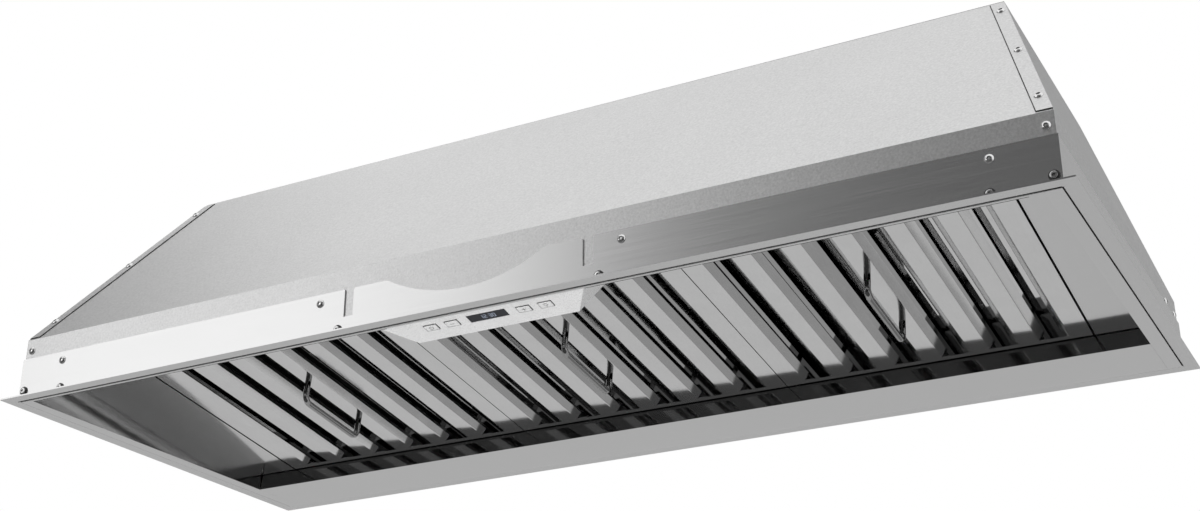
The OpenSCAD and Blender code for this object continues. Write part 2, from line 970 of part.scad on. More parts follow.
module control_box() {
    color(chrome)
        difference() {
            control_wedge(0);
            control_wedge(control_wall);
            for (x = button_xs)
                on_control_face(x, button_from_edge)
                    plate(button_w + 2 * button_clear, button_d + 2 * button_clear,
                        -control_wall - over, over);
            on_control_face(0, display_from_edge)
                plate(display_w + 2 * display_clear, display_d + 2 * display_clear,
                    -control_wall - over, over);
        }
}

module display_window() {
    color(black)
        on_control_face(0, display_from_edge)
            plate(display_w, display_d, -display_t, 0);
}

// Circuit board with its switches and the posts that carry it
module control_board() {
    color("green")
        on_control_face(0, display_from_edge) {
            plate(board_w, board_d, -board_gap - board_t, -board_gap);
            for (x = [-post_x, post_x])
                translate([x, 0, -board_gap])
                    cylinder(h = board_gap - control_wall - seat_gap, r = post_r);
        }
    color(black)
        for (x = button_xs)
            on_control_face(x, button_from_edge)
                translate([0, 0, -board_gap])
                    cylinder(h = switch_h, r = switch_r);
}

module button(x) {
    flange_high = -control_wall - button_back_gap;
    color(chrome)
        on_control_face(x, button_from_edge) {
            plate(button_w, button_d, flange_high, button_proud);
            plate(button_w + 2 * button_flange, button_d + 2 * button_flange,
                flange_high - button_flange_t, flange_high);
        }
}

module button_far_left() {
    button(-button_x_outer);
}

module button_near_left() {
    button(-button_x_inner);
}

module button_near_right() {
    button(button_x_inner);
}

module button_far_right() {
    button(button_x_outer);
}

// Filters

// Lower sheet with slots whose long edges are turned up
module filter_face(x) {
    slot_l = filter_l - 2 * slot_end;
    color(steel)
        on_filter_plane(x)
            difference() {
                union() {
                    difference() {
                        translate([-filter_w / 2, -filter_l, 0])
                            cube([filter_w, filter_l, filter_t]);
                        for (sx = slot_xs)
                            translate([sx - slot_w / 2, -filter_l + slot_end, -over])
                                cube([slot_w, slot_l, filter_t + 2 * over]);
                    }
                    for (sx = slot_xs, s = [-1, 1])
                        translate([sx + s * slot_w / 2, -filter_l / 2, 0])
                            along_y(slot_l)
                                polygon([
                                    [s * filter_t, 0],
                                    [0, 0],
                                    [-s * flank_run, flank_rise],
                                    [-s * flank_run, flank_rise + filter_t],
                                    [0, filter_t],
                                    [s * filter_t, filter_t]
                                ]);
                }
                for (s = [-1, 1])
                    translate([s * (filter_w / 2 - corner_notch_w / 2), -filter_l, 0])
                        plate(corner_notch_w, 2 * corner_notch_l, -over, filter_h);
                for (v = handle_vs)
                    translate([0, -v, -over])
                        cylinder(h = filter_h, r = handle_stud_r + seat_gap);
            }
}

// Upper channels that hang over the slots
module filter_baffles(x) {
    low = web_h - web_flank_drop;
    half = web_w / 2;
    wide = half + web_flank_run;
    color(steel)
        on_filter_plane(x)
            for (sx = slot_xs)
                translate([sx, -filter_l / 2, 0])
                    along_y(filter_l - 2 * filter_t - 2 * seat_gap)
                        polygon([
                            [-wide, low],
                            [-half, web_h],
                            [half, web_h],
                            [wide, low],
                            [wide, low + filter_t],
                            [half, web_h + filter_t],
                            [-half, web_h + filter_t],
                            [-wide, low + filter_t]
                        ]);
}

// Upright frame on the face, with the pins that it turns on
module filter_frame(x) {
    inner = frame_x - filter_t;
    color(steel)
        on_filter_plane(x) {
            difference() {
                translate([-frame_x, -filter_l, filter_t])
                    cube([2 * frame_x, filter_l, filter_h - filter_t]);
                translate([-inner, -filter_l + filter_t, 0])
                    cube([2 * inner, filter_l - 2 * filter_t, frame_top_lip_z]);
                translate([-frame_x + frame_lip_w, -filter_l + frame_lip_w, 0])
                    cube([2 * (frame_x - frame_lip_w), filter_l - 2 * frame_lip_w, filter_h + over]);
            }
            for (s = [-1, 1])
                translate([s * frame_x, -pivot_v, pivot_up])
                    rotate([0, s * 90, 0])
                        cylinder(h = frame_inset - hanger_w / 2 + filter_gap / 2 + pin_reach,
                            r = pivot_r);
        }
}

// Bent rod with two legs and threaded ends
module filter_handle(x) {
    bar_l = handle_span - 2 * handle_bend_r;
    leg_l = handle_reach - handle_bend_r;
    color(chrome)
        on_filter_plane(x) {
            translate([0, -filter_l / 2, -handle_reach])
                rotate([90, 0, 0])
                    cylinder(h = bar_l, r = handle_d / 2, center = true);
            for (s = [-1, 1])
                translate([0, -filter_l / 2 + s * bar_l / 2, -leg_l])
                    rotate([0, 90, 0])
                        rotate([0, 0, s > 0 ? 0 : -90])
                            rotate_extrude(angle = 90)
                                translate([handle_bend_r, 0])
                                    circle(r = handle_d / 2);
            for (v = handle_vs)
                translate([0, -v, -leg_l]) {
                    cylinder(h = leg_l, r = handle_d / 2);
                    cylinder(h = leg_l + filter_t + nut_h + filter_t, r = handle_stud_r);
                }
        }
}

// Nuts on the handle's threaded ends
module handle_nuts(x) {
    color(zinc)
        on_filter_plane(x)
            for (v = handle_vs)
                translate([0, -v, filter_t])
                    difference() {
                        cylinder(h = nut_h, r = nut_r, $fn = 6);
                        translate([0, 0, -over])
                            cylinder(h = nut_h + 2 * over, r = handle_stud_r + seat_gap / 2);
                    }
}

module filter_left_face() {
    filter_face(-filter_pitch);
}

module filter_left_baffles() {
    filter_baffles(-filter_pitch);
}

module filter_left_frame() {
    filter_frame(-filter_pitch);
}

module filter_left_handle() {
    filter_handle(-filter_pitch);
}

module handle_nuts_left() {
    handle_nuts(-filter_pitch);
}

module filter_centre_face() {
    filter_face(0);
}

module filter_centre_baffles() {
    filter_baffles(0);
}

module filter_centre_frame() {
    filter_frame(0);
}

module filter_centre_handle() {
    filter_handle(0);
}

module handle_nuts_centre() {
    handle_nuts(0);
}

module filter_right_face() {
    filter_face(filter_pitch);
}

module filter_right_baffles() {
    filter_baffles(filter_pitch);
}

module filter_right_frame() {
    filter_frame(filter_pitch);
}

module filter_right_handle() {
    filter_handle(filter_pitch);
}

module handle_nuts_right() {
    handle_nuts(filter_pitch);
}

// Blocks on the light panel's flange, with open hooks for the filters' pins
module filter_hangers() {
    color(black)
        for (i = [-1.5, -0.5, 0.5, 1.5])
            translate([i * filter_pitch, 0, 0])
                difference() {
                    along_x(hanger_w)
                        polygon([
                            [panel_end_y, fp(filter_l, hook_bottom_up)[1]],
                            fp(pivot_v - hook_rear, hook_bottom_up),
                            fp(pivot_v - hook_rear, hook_z),
                            [panel_end_y, fp(filter_l, hook_z)[1]]
                        ]);
                    on_filter_plane(0)
                        translate([0, -pivot_v, pivot_up]) {
                            rotate([0, 90, 0])
                                cylinder(h = hanger_w + over, r = pivot_r + pivot_clear, center = true);
                            plate(hanger_w + over, 2 * (pivot_r + pivot_clear), 0, filter_h);
                        }
                }
}

// Bowed spring strips on the rear wall that grip the filters' frames
module filter_catches() {
    catch_z = fp(0, catch_up)[1];
    wall_y = recess_y + rear_wall_lean * catch_z / recess_rear_h;
    bow = wall_y - fp(0, catch_up)[0] - run_gap;
    bow_r = (catch_l * catch_l / 4 + bow * bow) / (2 * bow);
    color(chrome)
        for (i = [-1, 0, 1], s = [-1, 1])
            translate([i * filter_pitch + s * filter_pitch / 4, wall_y, catch_z])
                rotate([-atan2(rear_wall_lean, recess_rear_h), 0, 0])
                    intersection() {
                        translate([0, bow_r - bow, 0])
                            rotate([0, 90, 0])
                                difference() {
                                    cylinder(h = catch_w, r = bow_r, center = true);
                                    cylinder(h = catch_w + over, r = bow_r - catch_t, center = true);
                                }
                        translate([-catch_w, -2 * bow, -catch_l / 2])
                            cube([2 * catch_w, 2 * bow, catch_l]);
                    }
}

// Blower

// Outline of the scroll seen from the side, y and z from the wheel's axis, grown by a wall
module scroll_outline(wall, top_z) {
    circle(r = scroll_r + wall, $fn = 96);
    translate([outlet_y0 - wheel_y - wall, 0])
        square([outlet_d + 2 * wall, top_z - wheel_z]);
}

// Sheet that runs round between the scroll's sides, with the flange of its outlet
module scroll_wrap() {
    color(zinc)
        difference() {
            union() {
                translate([0, wheel_y, wheel_z])
                    along_x(scroll_w)
                        scroll_outline(scroll_t, under_top_z - scroll_t / 2);
                translate([0, duct_y, under_top_z - scroll_t])
                    cylinder(h = scroll_t, r = duct_r + duct_flange_w);
            }
            translate([0, wheel_y, wheel_z])
                along_x(scroll_w + 2 * over)
                    scroll_outline(0, under_top_z - scroll_t);
            translate([-scroll_w / 2, outlet_y0, under_top_z - scroll_t - over])
                cube([scroll_w, outlet_d, scroll_t + 2 * over]);
        }
}

// Flat sides of the scroll with their round inlets
module scroll_sides() {
    color(zinc)
        for (side = [-1, 1])
            translate([side * (scroll_w + scroll_t) / 2, wheel_y, wheel_z])
                difference() {
                    along_x(scroll_t)
                        scroll_outline(scroll_t, under_top_z - scroll_t);
                    rotate([0, 90, 0])
                        cylinder(h = scroll_t + 2 * over, r = inlet_r, center = true);
                }
}

// Flared rings round the inlets
module inlet_rings() {
    color(zinc)
        for (side = [0, 1])
            mirror([side, 0, 0])
                translate([scroll_w / 2 + scroll_t, wheel_y, wheel_z])
                    rotate([0, 90, 0])
                        rotate_extrude()
                            polygon([
                                [inlet_r, 0],
                                [inlet_r + inlet_ring_h, 0],
                                [inlet_r + inlet_ring_h, inlet_ring_h / 2],
                                [inlet_r + inlet_ring_h / 2, inlet_ring_h / 2],
                                [inlet_r, inlet_ring_h / 4]
                            ]);
}

module blower_wheel() {
    color("silver")
        translate([0, wheel_y, wheel_z])
            rotate([0, 90, 0])
                difference() {
                    union() {
                        cylinder(h = wheel_t, r = wheel_r, center = true);
                        cylinder(h = hub_l, r = hub_r, center = true);
                        for (s = [-1, 1])
                            translate([0, 0, s * (wheel_w - wheel_t) / 2])
                                difference() {
                                    cylinder(h = wheel_t, r = wheel_r, center = true);
                                    cylinder(h = wheel_t + over, r = wheel_r - ring_w, center = true);
                                }
                        for (i = [0:blade_count - 1])
                            rotate([0, 0, i * 360 / blade_count])
                                translate([wheel_r - ring_w / 2, 0, 0])
                                    rotate([0, 0, blade_angle])
                                        cube([blade_l, blade_t, wheel_w - wheel_t], center = true);
                    }
                    cylinder(h = wheel_w, r = shaft_r + shaft_clear, center = true);
                }
}

module motor_shaft() {
    color(chrome)
        translate([-hub_l / 2, wheel_y, wheel_z])
            rotate([0, 90, 0])
                cylinder(h = hub_l / 2 + motor_x + motor_l / 2, r = shaft_r);
}

module motor() {
    color(black)
        translate([motor_x, wheel_y, wheel_z])
            rotate([0, 90, 0])
                difference() {
                    union() {
                        cylinder(h = motor_l, r = motor_r);
                        translate([0, 0, -motor_boss_l])
                            cylinder(h = motor_boss_l, r = motor_r / 2);
                    }
                    translate([0, 0, -motor_boss_l - over])
                        cylinder(h = motor_l / 2 + motor_boss_l + over + run_gap, r = shaft_r + shaft_clear);
                }
}

// Three arms from the scroll's side to a band round the motor
module motor_bracket() {
    arm_r = inlet_r + inlet_ring_h + arm_w;
    color(zinc)
        translate([scroll_w / 2 + scroll_t, wheel_y, wheel_z])
            rotate([0, 90, 0]) {
                translate([0, 0, motor_gap + arm_t])
                    difference() {
                        cylinder(h = motor_band_w, r = motor_r + seat_gap + arm_t);
                        translate([0, 0, -over])
                            cylinder(h = motor_band_w + 2 * over, r = motor_r + seat_gap);
                    }
                for (i = [0:arm_count - 1])
                    rotate([0, 0, 180 + i * 360 / arm_count]) {
                        translate([motor_r + seat_gap + arm_t / 2, -arm_w / 2, motor_gap + arm_t])
                            cube([arm_r - motor_r - arm_t, arm_w, arm_t]);
                        translate([arm_r - arm_t, -arm_w / 2, 0])
                            cube([arm_t, arm_w, motor_gap + 2 * arm_t]);
                    }
            }
}

// Capacitor in its clip on the scroll's left side
module capacitor() {
    color("lightgray")
        translate([-scroll_w / 2 - scroll_t - capacitor_r - capacitor_gap,
            outlet_y0 + capacitor_r, under_top_z - capacitor_l - capacitor_drop]) {
            cylinder(h = capacitor_l, r = capacitor_r);
            translate([capacitor_r / 2, -capacitor_clip_w / 2, capacitor_l / 2])
                cube([capacitor_r / 2 + capacitor_gap, capacitor_clip_w, capacitor_clip_w]);
        }
}

// Wiring

module junction_box() {
    low = under_top_z - junction_h;
    color(zinc)
        translate([cable_hole_x, cable_hole_y, 0])
            difference() {
                plate(junction_w, junction_d, low, under_top_z);
                plate(junction_w - 2 * box_t, junction_d - 2 * box_t, low - over, under_top_z - box_t);
                translate([0, 0, under_top_z - box_t - over])
                    cylinder(h = box_t + 2 * over, r = cable_hole_r);
            }
}

module junction_cover() {
    low = under_top_z - junction_h;
    color(zinc)
        translate([cable_hole_x, cable_hole_y, 0])
            plate(junction_w + 2 * box_t, junction_d + 2 * box_t, low - box_t, low);
}

module lamp_driver() {
    color("white")
        translate([driver_x, cable_hole_y, 0])
            plate(driver_w, driver_d, under_top_z - driver_h, under_top_z);
}

// Duct collar and damper

module duct_collar() {
    axis_z = hood_h + damper_axis_up;
    color(zinc)
        difference() {
            translate([0, duct_y, hood_h])
                rotate_extrude($fn = 96)
                    polygon([
                        [duct_r - duct_t, 0],
                        [duct_r + duct_flange_w, 0],
                        [duct_r + duct_flange_w, duct_t],
                        [duct_r, duct_t],
                        [duct_r, duct_h],
                        [duct_r - duct_t, duct_h],
                        [duct_r - duct_t, stop_up],
                        [duct_r - duct_t - stop_w, stop_up],
                        [duct_r - duct_t - stop_w, stop_up - duct_t],
                        [duct_r - duct_t, stop_up - duct_t]
                    ]);
            translate([0, duct_y, axis_z])
                rotate([0, 90, 0])
                    cylinder(h = 2 * duct_r + over, r = damper_rod_r + seat_gap, center = true);
        }
}

module damper_rod() {
    color(chrome)
        translate([0, duct_y, hood_h + damper_axis_up])
            rotate([0, 90, 0])
                cylinder(h = 2 * (duct_r - duct_t / 2), r = damper_rod_r, center = true);
}

// Half disc with two knuckles round the rod, side is -1 for the front half
module damper_flap(side) {
    xs = [for (i = [0, 2]) knuckle_xs[side < 0 ? i : i + 1]];
    color(zinc)
        translate([0, duct_y, hood_h + damper_axis_up])
            difference() {
                union() {
                    intersection() {
                        cylinder(h = damper_t, r = flap_r, center = true, $fn = 96);
                        translate([-duct_r, side > 0 ? flap_edge : -duct_r - flap_edge, -damper_t])
                            cube([2 * duct_r, duct_r, 2 * damper_t]);
                    }
                    for (x = xs) {
                        translate([x, 0, 0])
                            rotate([0, 90, 0])
                                cylinder(h = knuckle_l, r = knuckle_r);
                        translate([x, side > 0 ? 0 : -flap_edge - damper_t, -damper_t / 2])
                            cube([knuckle_l, flap_edge + damper_t, damper_t]);
                    }
                }
                rotate([0, 90, 0])
                    cylinder(h = 2 * duct_r, r = damper_rod_r + damper_bore_clear, center = true);
            }
}

module damper_flap_front() {
    damper_flap(-1);
}

module damper_flap_rear() {
    damper_flap(1);
}

// Fasteners

module trim_screws() {
    color(chrome)
        at_trim_screws()
            dome_screw();
}

module housing_screws() {
    color(chrome) {
        at_housing_corner_screws()
            dome_screw();
        for (side = [-1, 1]) {
            at_hip_screws(side, sheet_t)
                dome_screw();
            at_side_screws(side, house_x)
                dome_screw();
        }
    }
}

module screw_washers() {
    color(black)
        at_socket_screws()
            difference() {
                cylinder(h = washer_t, r = washer_r);
                translate([0, 0, -over])
                    cylinder(h = washer_t + 2 * over, r = socket_shank_r + seat_gap);
            }
}

module socket_screws() {
    color(chrome)
        at_socket_screws()
            difference() {
                union() {
                    translate([0, 0, washer_t])
                        cylinder(h = socket_head_h, r = socket_head_r);
                    translate([0, 0, -screw_l])
                        cylinder(h = screw_l + washer_t + socket_head_h / 2, r = socket_shank_r);
                }
                translate([0, 0, washer_t + socket_head_h / 2])
                    cylinder(h = socket_head_h + over, r = socket_r, $fn = 6);
            }
}

housing_front();
housing_left();
housing_right();
housing_back();
housing_top();
trim_front();
trim_left();
trim_right();
trim_rear();
liner_left();
liner_right();
liner_rear();
light_panel();
lamp_rings();
lamp_lenses();
lamp_bodies();
control_box();
display_window();
control_board();
button_far_left();
button_near_left();
button_near_right();
button_far_right();
filter_left_face();
filter_left_baffles();
filter_left_frame();
filter_left_handle();
handle_nuts_left();
filter_centre_face();
filter_centre_baffles();
filter_centre_frame();
filter_centre_handle();
handle_nuts_centre();
filter_right_face();
filter_right_baffles();
filter_right_frame();
filter_right_handle();
handle_nuts_right();
filter_hangers();
filter_catches();
scroll_wrap();
scroll_sides();
inlet_rings();
blower_wheel();
motor_shaft();
motor();
motor_bracket();
capacitor();
junction_box();
junction_cover();
lamp_driver();
duct_collar();
damper_rod();
damper_flap_front();
damper_flap_rear();
trim_screws();
housing_screws();
socket_screws();
screw_washers();
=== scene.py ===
import math

import bpy
import numpy as np
from bpy.props import FloatProperty, FloatVectorProperty, IntProperty, PointerProperty
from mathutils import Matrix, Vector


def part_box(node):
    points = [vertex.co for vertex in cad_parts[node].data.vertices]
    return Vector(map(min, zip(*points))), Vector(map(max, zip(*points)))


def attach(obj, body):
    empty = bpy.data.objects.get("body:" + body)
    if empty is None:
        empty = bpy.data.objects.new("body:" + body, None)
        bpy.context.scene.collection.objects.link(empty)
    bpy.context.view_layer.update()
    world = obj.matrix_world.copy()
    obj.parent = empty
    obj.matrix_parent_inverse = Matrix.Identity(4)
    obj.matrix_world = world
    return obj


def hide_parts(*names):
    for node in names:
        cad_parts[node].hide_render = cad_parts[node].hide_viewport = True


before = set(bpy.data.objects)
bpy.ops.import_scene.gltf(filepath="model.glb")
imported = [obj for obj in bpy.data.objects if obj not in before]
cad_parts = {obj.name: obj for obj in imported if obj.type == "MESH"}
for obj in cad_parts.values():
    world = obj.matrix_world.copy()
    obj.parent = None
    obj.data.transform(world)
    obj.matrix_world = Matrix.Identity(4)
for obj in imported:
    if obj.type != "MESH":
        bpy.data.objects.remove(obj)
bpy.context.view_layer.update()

bl_info = {
    "name": "Range hood insert",
    "version": (1, 0, 0),
    "blender": (4, 5, 0),
    "location": "View3D > Sidebar > Hood",
    "description": "Sheet metal, baffle filters, controls and studio of a built-in range hood insert",
    "category": "Object",
}

FILTERS = ("left", "centre", "right")
BUTTONS = ("far_left", "near_left", "near_right", "far_right")

# Grey cards that the sheet metal mirrors: name, ends in x, y and z, the axis along which the
# level changes, and stops of (place, level)
CARDS = (
    (
        "front_card", (-14.0, 6.0), (-6.0, -6.0), (0.5, 7.0), "X",
        (
            (-14.0, 1.25), (-8.0, 1.5), (-4.6, 1.52), (-3.95, 1.38), (-3.15, 0.82),
            (-2.66, 0.42), (-2.1, 0.25), (-1.5, 0.19), (-0.74, 0.155), (6.0, 0.15),
        ),
    ),
    ("low_card", (-14.0, 6.0), (-5.9, -5.9), (-2.38, 0.5), "X", ((-14.0, 0.04), (6.0, 0.04))),
    ("near_card", (-14.0, 6.0), (-8.0, -1.0), (-2.39, -2.39), "X", ((-14.0, 0.12), (6.0, 0.12))),
    ("right_card", (0.1, 1.98), (1.0, 4.3), (-2.385, -2.385), "X", ((0.1, 0.36), (1.98, 0.36))),
    ("far_card", (2.42, 2.95), (1.0, 5.0), (-2.385, -2.385), "X", ((2.42, 0.07), (2.95, 0.07))),
    ("left_card", (-6.0, -6.0), (-4.0, 6.0), (-1.0, 6.8), "Y", ((-4.0, 0.27), (6.0, 0.27))),
    (
        "rear_card", (-6.0, 10.0), (6.0, 6.0), (-1.0, 9.0), "X",
        (
            (-6.0, 0.12), (-0.5, 0.1), (0.3, 0.16), (0.8, 0.34), (1.6, 0.52),
            (3.0, 0.45), (6.0, 0.3), (10.0, 0.3),
        ),
    ),
)
LAMP_TARGET = (0.0, 0.0, 0.1)
# Near-black of the strips that stand in for shadow in gaps: beside the hip flanges and round the buttons
SHADOW_BLACK = 0.012

# Places of the screws in metres. A share is a height on the hip, as a part of the slope's rise.
TRIM_SCREW_X, TRIM_SCREW_Z = (-0.517, -0.1706, 0.1706, 0.517), 0.039
CORNER_SCREW_IN, CORNER_SCREW_Z = 0.008, 0.0587
HIP_SCREW_IN, HIP_SCREW_SHARES, HIP_FLANGE_T = 0.007, (0.118, 0.515, 0.904), 0.001
SIDE_SCREW_Y, SIDE_SCREW_Z = (0.186, 0.228), 0.0528
SOCKET_SCREW_X, SOCKET_SCREW_Z = (-0.515, -0.147, 0.147, 0.515), 0.0068
END_SCREW_X, END_SCREW_Z = (-0.569, 0.569), 0.0115

# Dark bead along the front lip, as painted shadow of the gap there: place, radius and the spans on both sides
# of the control box
LIP_SHADOW_Y, LIP_SHADOW_Z, LIP_SHADOW_R = -0.2356, 0.0009, 0.0008
LIP_SHADOW_SPANS = ((-0.545, -0.0925), (0.1285, 0.545))

# Lines of the signs and digits, the corners of the buttons and the display, and their bevels
LINE_W, LINE_H = 0.0006, 0.00004
CORNER_R, DISPLAY_CORNER_R, BEVEL = 0.001, 0.0004, 0.0003


# Sizes and colours

def length(name, default, description, low=0.0):
    """A length in metres that the panel shows with its unit."""
    return FloatProperty(
        name=name, description=description, default=default, min=low, unit="LENGTH", precision=5
    )


def angle(name, degrees, description):
    """An angle, written in degrees here and kept in radians."""
    return FloatProperty(
        name=name, description=description, default=math.radians(degrees), unit="ROTATION"
    )


def grey(name, value, description):
    """A neutral colour."""
    return FloatVectorProperty(
        name=name, description=description, subtype="COLOR", size=3, min=0.0, max=1.0,
        default=(value, value, value),
    )


def share(name, default, description, high=1.0):
    """A plain number from zero up."""
    return FloatProperty(name=name, description=description, default=default, min=0.0, max=high)


class HoodStageSettings(bpy.types.PropertyGroup):
    lens: FloatProperty(
        name="Lens", description="Focal length of the camera", default=52.48, min=10.0, unit="CAMERA"
    )
    place: FloatVectorProperty(
        name="Place", description="Place of the camera", size=3, subtype="TRANSLATION",
        default=(0.847795, -1.547360, -0.620465),
    )
    turn: FloatVectorProperty(
        name="Turn", description="Turn of the camera", size=3, subtype="EULER", unit="ROTATION",
        default=(math.radians(113.60654), math.radians(-0.04884), math.radians(28.16771)),
    )
    floor_z: FloatProperty(
        name="Floor height", description="Height of the floor", default=-2.4, unit="LENGTH"
    )
    floor_size: length("Floor size", 24.0, "Width and depth of the floor", 4.0)
    floor_colour: grey("Floor", 0.8, "Colour of the floor")
    sky_level: share("Sky level", 0.72, "Level of the light that comes from all round", 2.0)
    key_power: share("Key power", 80.0, "Power of the large soft lamp before the hood", 500.0)
    fill_power: share("Fill power", 60.0, "Power of the soft lamp below the front", 500.0)


class HoodMetalSettings(bpy.types.PropertyGroup):
    zinc: grey("Galvanised sheet", 0.66, "Colour of the galvanised sheet")
    stainless: grey("Stainless sheet", 0.6, "Colour of the brushed stainless sheet")
    polished: grey("Polished sheet", 0.65, "Colour of the filters' sheet")
    chrome: grey("Chrome", 0.8, "Colour of the bright screws and rings")
    # The rods' chrome is darker than the other chrome: painted reflection of dark surroundings in the rods
    rod: grey("Rods", 0.3, "Colour of the handles' dark chrome")
    plated: grey("Plated steel", 0.62, "Colour of the plated fasteners and the shaft")
    spangle: length("Spangle", 0.0017, "Size of the zinc crystals", 0.001)
    grain: length("Grain", 0.0011, "Width of the brushed lines", 0.0001)


class HoodFilterSettings(bpy.types.PropertyGroup):
    rear_y: length("Rear edge", 0.15815, "Place of the rear edge of the filters", -1.0)
    rear_z: length("Rear height", 0.0197, "Height of the rear edge of the filters")
    tilt: angle("Tilt", 8.501783, "Rise of the filters to the front")
    depth: length("Depth", 0.30303, "Length of a filter from its rear to its front edge")
    sheet: length("Sheet", 0.0008, "Thickness of the filters' sheet")
    slots: IntProperty(name="Slots", description="Slots in each filter", default=6, min=2, max=12)
    slot_w: length("Slot width", 0.032, "Width of each slot")
    slot_end: length("Slot end", 0.0065, "Sheet left at both ends of a slot")
    edge: length("Edge", 0.0223, "Flat strip outside the outermost slots")
    flank_run: length("Flank run", 0.0076, "Width of the turned-up edge of a slot")
    flank_rise: length("Flank rise", 0.0051, "Height of the turned-up edge of a slot")
    bend: length("Bend", 0.0016, "Radius of the sheet's bends")
    mitre: length("Mitre", 0.004, "Length by which the turned-up edges are cut back")
    notch_w: length("Notch width", 0.0105, "Width of the notches at the front corners")
    notch_l: length("Notch length", 0.012, "Length of the notches at the front corners")
    handle_r: length("Handle radius", 0.0035, "Radius of the handle rod")
    handle_span: length("Handle span", 0.101, "Distance between the handle's legs")
    handle_reach: length("Handle reach", 0.0276, "Distance from the filter to the rod's middle")
    handle_bend: length("Handle bend", 0.009, "Bend radius of the handle rod")
    stud_r: length("Stud radius", 0.0024, "Radius of the handle's threaded ends")
    stud_l: length("Stud length", 0.0056, "Length of the threaded ends past the sheet")


class HoodScrewSettings(bpy.types.PropertyGroup):
    head_r: length("Head radius", 0.0043, "Radius of the dome screws' heads")
    head_h: length("Head height", 0.0024, "Height of the dome screws' heads")
    rim_h: length("Rim height", 0.0006, "Height of the heads' straight rim")
    recess_r: length("Recess radius", 0.0021, "Radius of the six-sided recess")
    recess_h: length("Recess depth", 0.0012, "Depth of the six-sided recess")
    shank_r: length("Shank radius", 0.0019, "Radius of the dome screws' shanks")
    shank_l: length("Shank length", 0.005, "Length of the screws' shanks")
    socket_head_r: length("Socket head radius", 0.0033, "Radius of the socket screws' heads")
    socket_head_h: length("Socket head height", 0.0018, "Height of the socket screws' heads")
    socket_r: length("Socket radius", 0.0016, "Radius of the socket")
    socket_shank_r: length("Socket shank radius", 0.0022, "Radius of the socket screws' shanks")
    washer_r: length("Washer radius", 0.005, "Radius of the washers")
    washer_h: length("Washer thickness", 0.001, "Thickness of the washers")
    band_y: length("Band face", -0.24225, "Place of the front band's face", -1.0)
    house_x: length("Housing side", 0.5745, "Place of the housing's side")
    house_y: length("Housing front", -0.24075, "Place of the housing's front", -1.0)
    fold_z: length("Fold", 0.072, "Height of the housing's fold")
    rise: length("Rise", 0.2275, "Height of the sloped front above the fold")
    front_run: length("Front run", 0.1844, "Depth of the sloped front")
    side_run: length("Side run", 0.0745, "Width of the sloped sides")
    hip_w: length("Hip flange", 0.014, "Width of the flanges along the hips")
    hip_lift: length("Hip lift", 0.003, "Height at which the hip flanges start and end")
    # The next two size the black strips along the hip flanges' inner and lower edges: painted shadow of the
    # gap under the flanges
    hip_shadow_w: length("Hip shadow width", 0.0011, "Width of the sealant along the hip flanges")
    hip_shadow_t: length("Hip shadow thickness", 0.0005, "Thickness of the sealant")


class HoodControlSettings(bpy.types.PropertyGroup):
    face_y: length("Face", -0.17855, "Place of the control face's rear edge", -1.0)
    face_z: length("Face height", 0.0043, "Height of the control face's rear edge")
    face_angle: angle("Face angle", 12.0, "Rise of the control face to the front")
    # The skirt is a black strip in the gap round each button: painted shadow of the gap
    skirt: length("Skirt", 0.00035, "Width of the dark skirt round each button")
    button_w: length("Button width", 0.015, "Length of each button along the hood")
    button_d: length("Button depth", 0.0098, "Depth of each button")
    button_edge: length("Button place", 0.0216, "Distance of the buttons from the face's edge")
    button_inner: length("Inner buttons", 0.041, "Distance of the inner buttons from the display")
    button_outer: length("Outer buttons", 0.0653, "Distance of the outer buttons from the display")
    shift: length("Shift", 0.0015, "Shift of the display and the buttons to the right")
    button_back: length("Button back", 0.00225, "Depth of the button's flange behind the face")
    button_proud: length("Button height", 0.0008, "Height of the buttons above the face")
    flange_w: length("Button flange", 0.0015, "Width of the flange round each button")
    flange_t: length("Flange thickness", 0.0012, "Thickness of the flange round each button")
    display_w: length("Display width", 0.0438, "Length of the display window")
    display_d: length("Display depth", 0.012, "Depth of the display window")
    display_t: length("Display thickness", 0.0026, "Thickness of the display window")
    display_edge: length("Display place", 0.0222, "Distance of the display from the face's edge")
    silver: grey("Silver", 0.85, "Colour of the control face")
    mark: grey("Mark", 0.05, "Colour of the signs on the buttons")
    glow: FloatVectorProperty(
        name="Digits", description="Colour of the display's digits", subtype="COLOR", size=3,
        min=0.0, max=1.0, default=(0.22, 0.25, 0.31),
    )


class HoodDuctSettings(bpy.types.PropertyGroup):
    duct_y: length("Duct place", 0.11, "Place of the duct collar's middle")
    top_z: length("Top", 0.2995, "Height of the housing's top")
    duct_r: length("Duct radius", 0.1005, "Outer radius of the duct collar")
    duct_h: length("Duct height", 0.036, "Height of the duct collar")
    wall: length("Wall", 0.001, "Sheet thickness of the collar")
    flange_w: length("Flange", 0.014, "Width of the collar's flange")
    stop_w: length("Stop width", 0.004, "Width of the stop for the flaps")
    stop_up: length("Stop height", 0.012, "Height of the stop for the flaps")


class HoodLampSettings(bpy.types.PropertyGroup):
    lamp_y: length("Lamp place", -0.19095, "Place of the lamps across the light panel", -1.0)
    lamp_z: length("Lamp height", 0.0330737, "Height of the lamps' middle")
    inner: length("Inner lamps", 0.236, "Distance of the inner lamps from the middle")
    outer: length("Outer lamps", 0.43, "Distance of the outer lamps from the middle")
    panel_angle: angle("Panel angle", 34.78, "Rise of the light panel to the rear")
    ring_r: length("Ring radius", 0.033, "Outer radius of each lamp's ring")
    lens_r: length("Lens radius", 0.026, "Radius of each lamp's lens")
    ring_h: length("Ring height", 0.002, "Height of each lamp's ring")
    lens_h: length("Lens height", 0.0015, "Height of each lamp's lens")


# Meshes

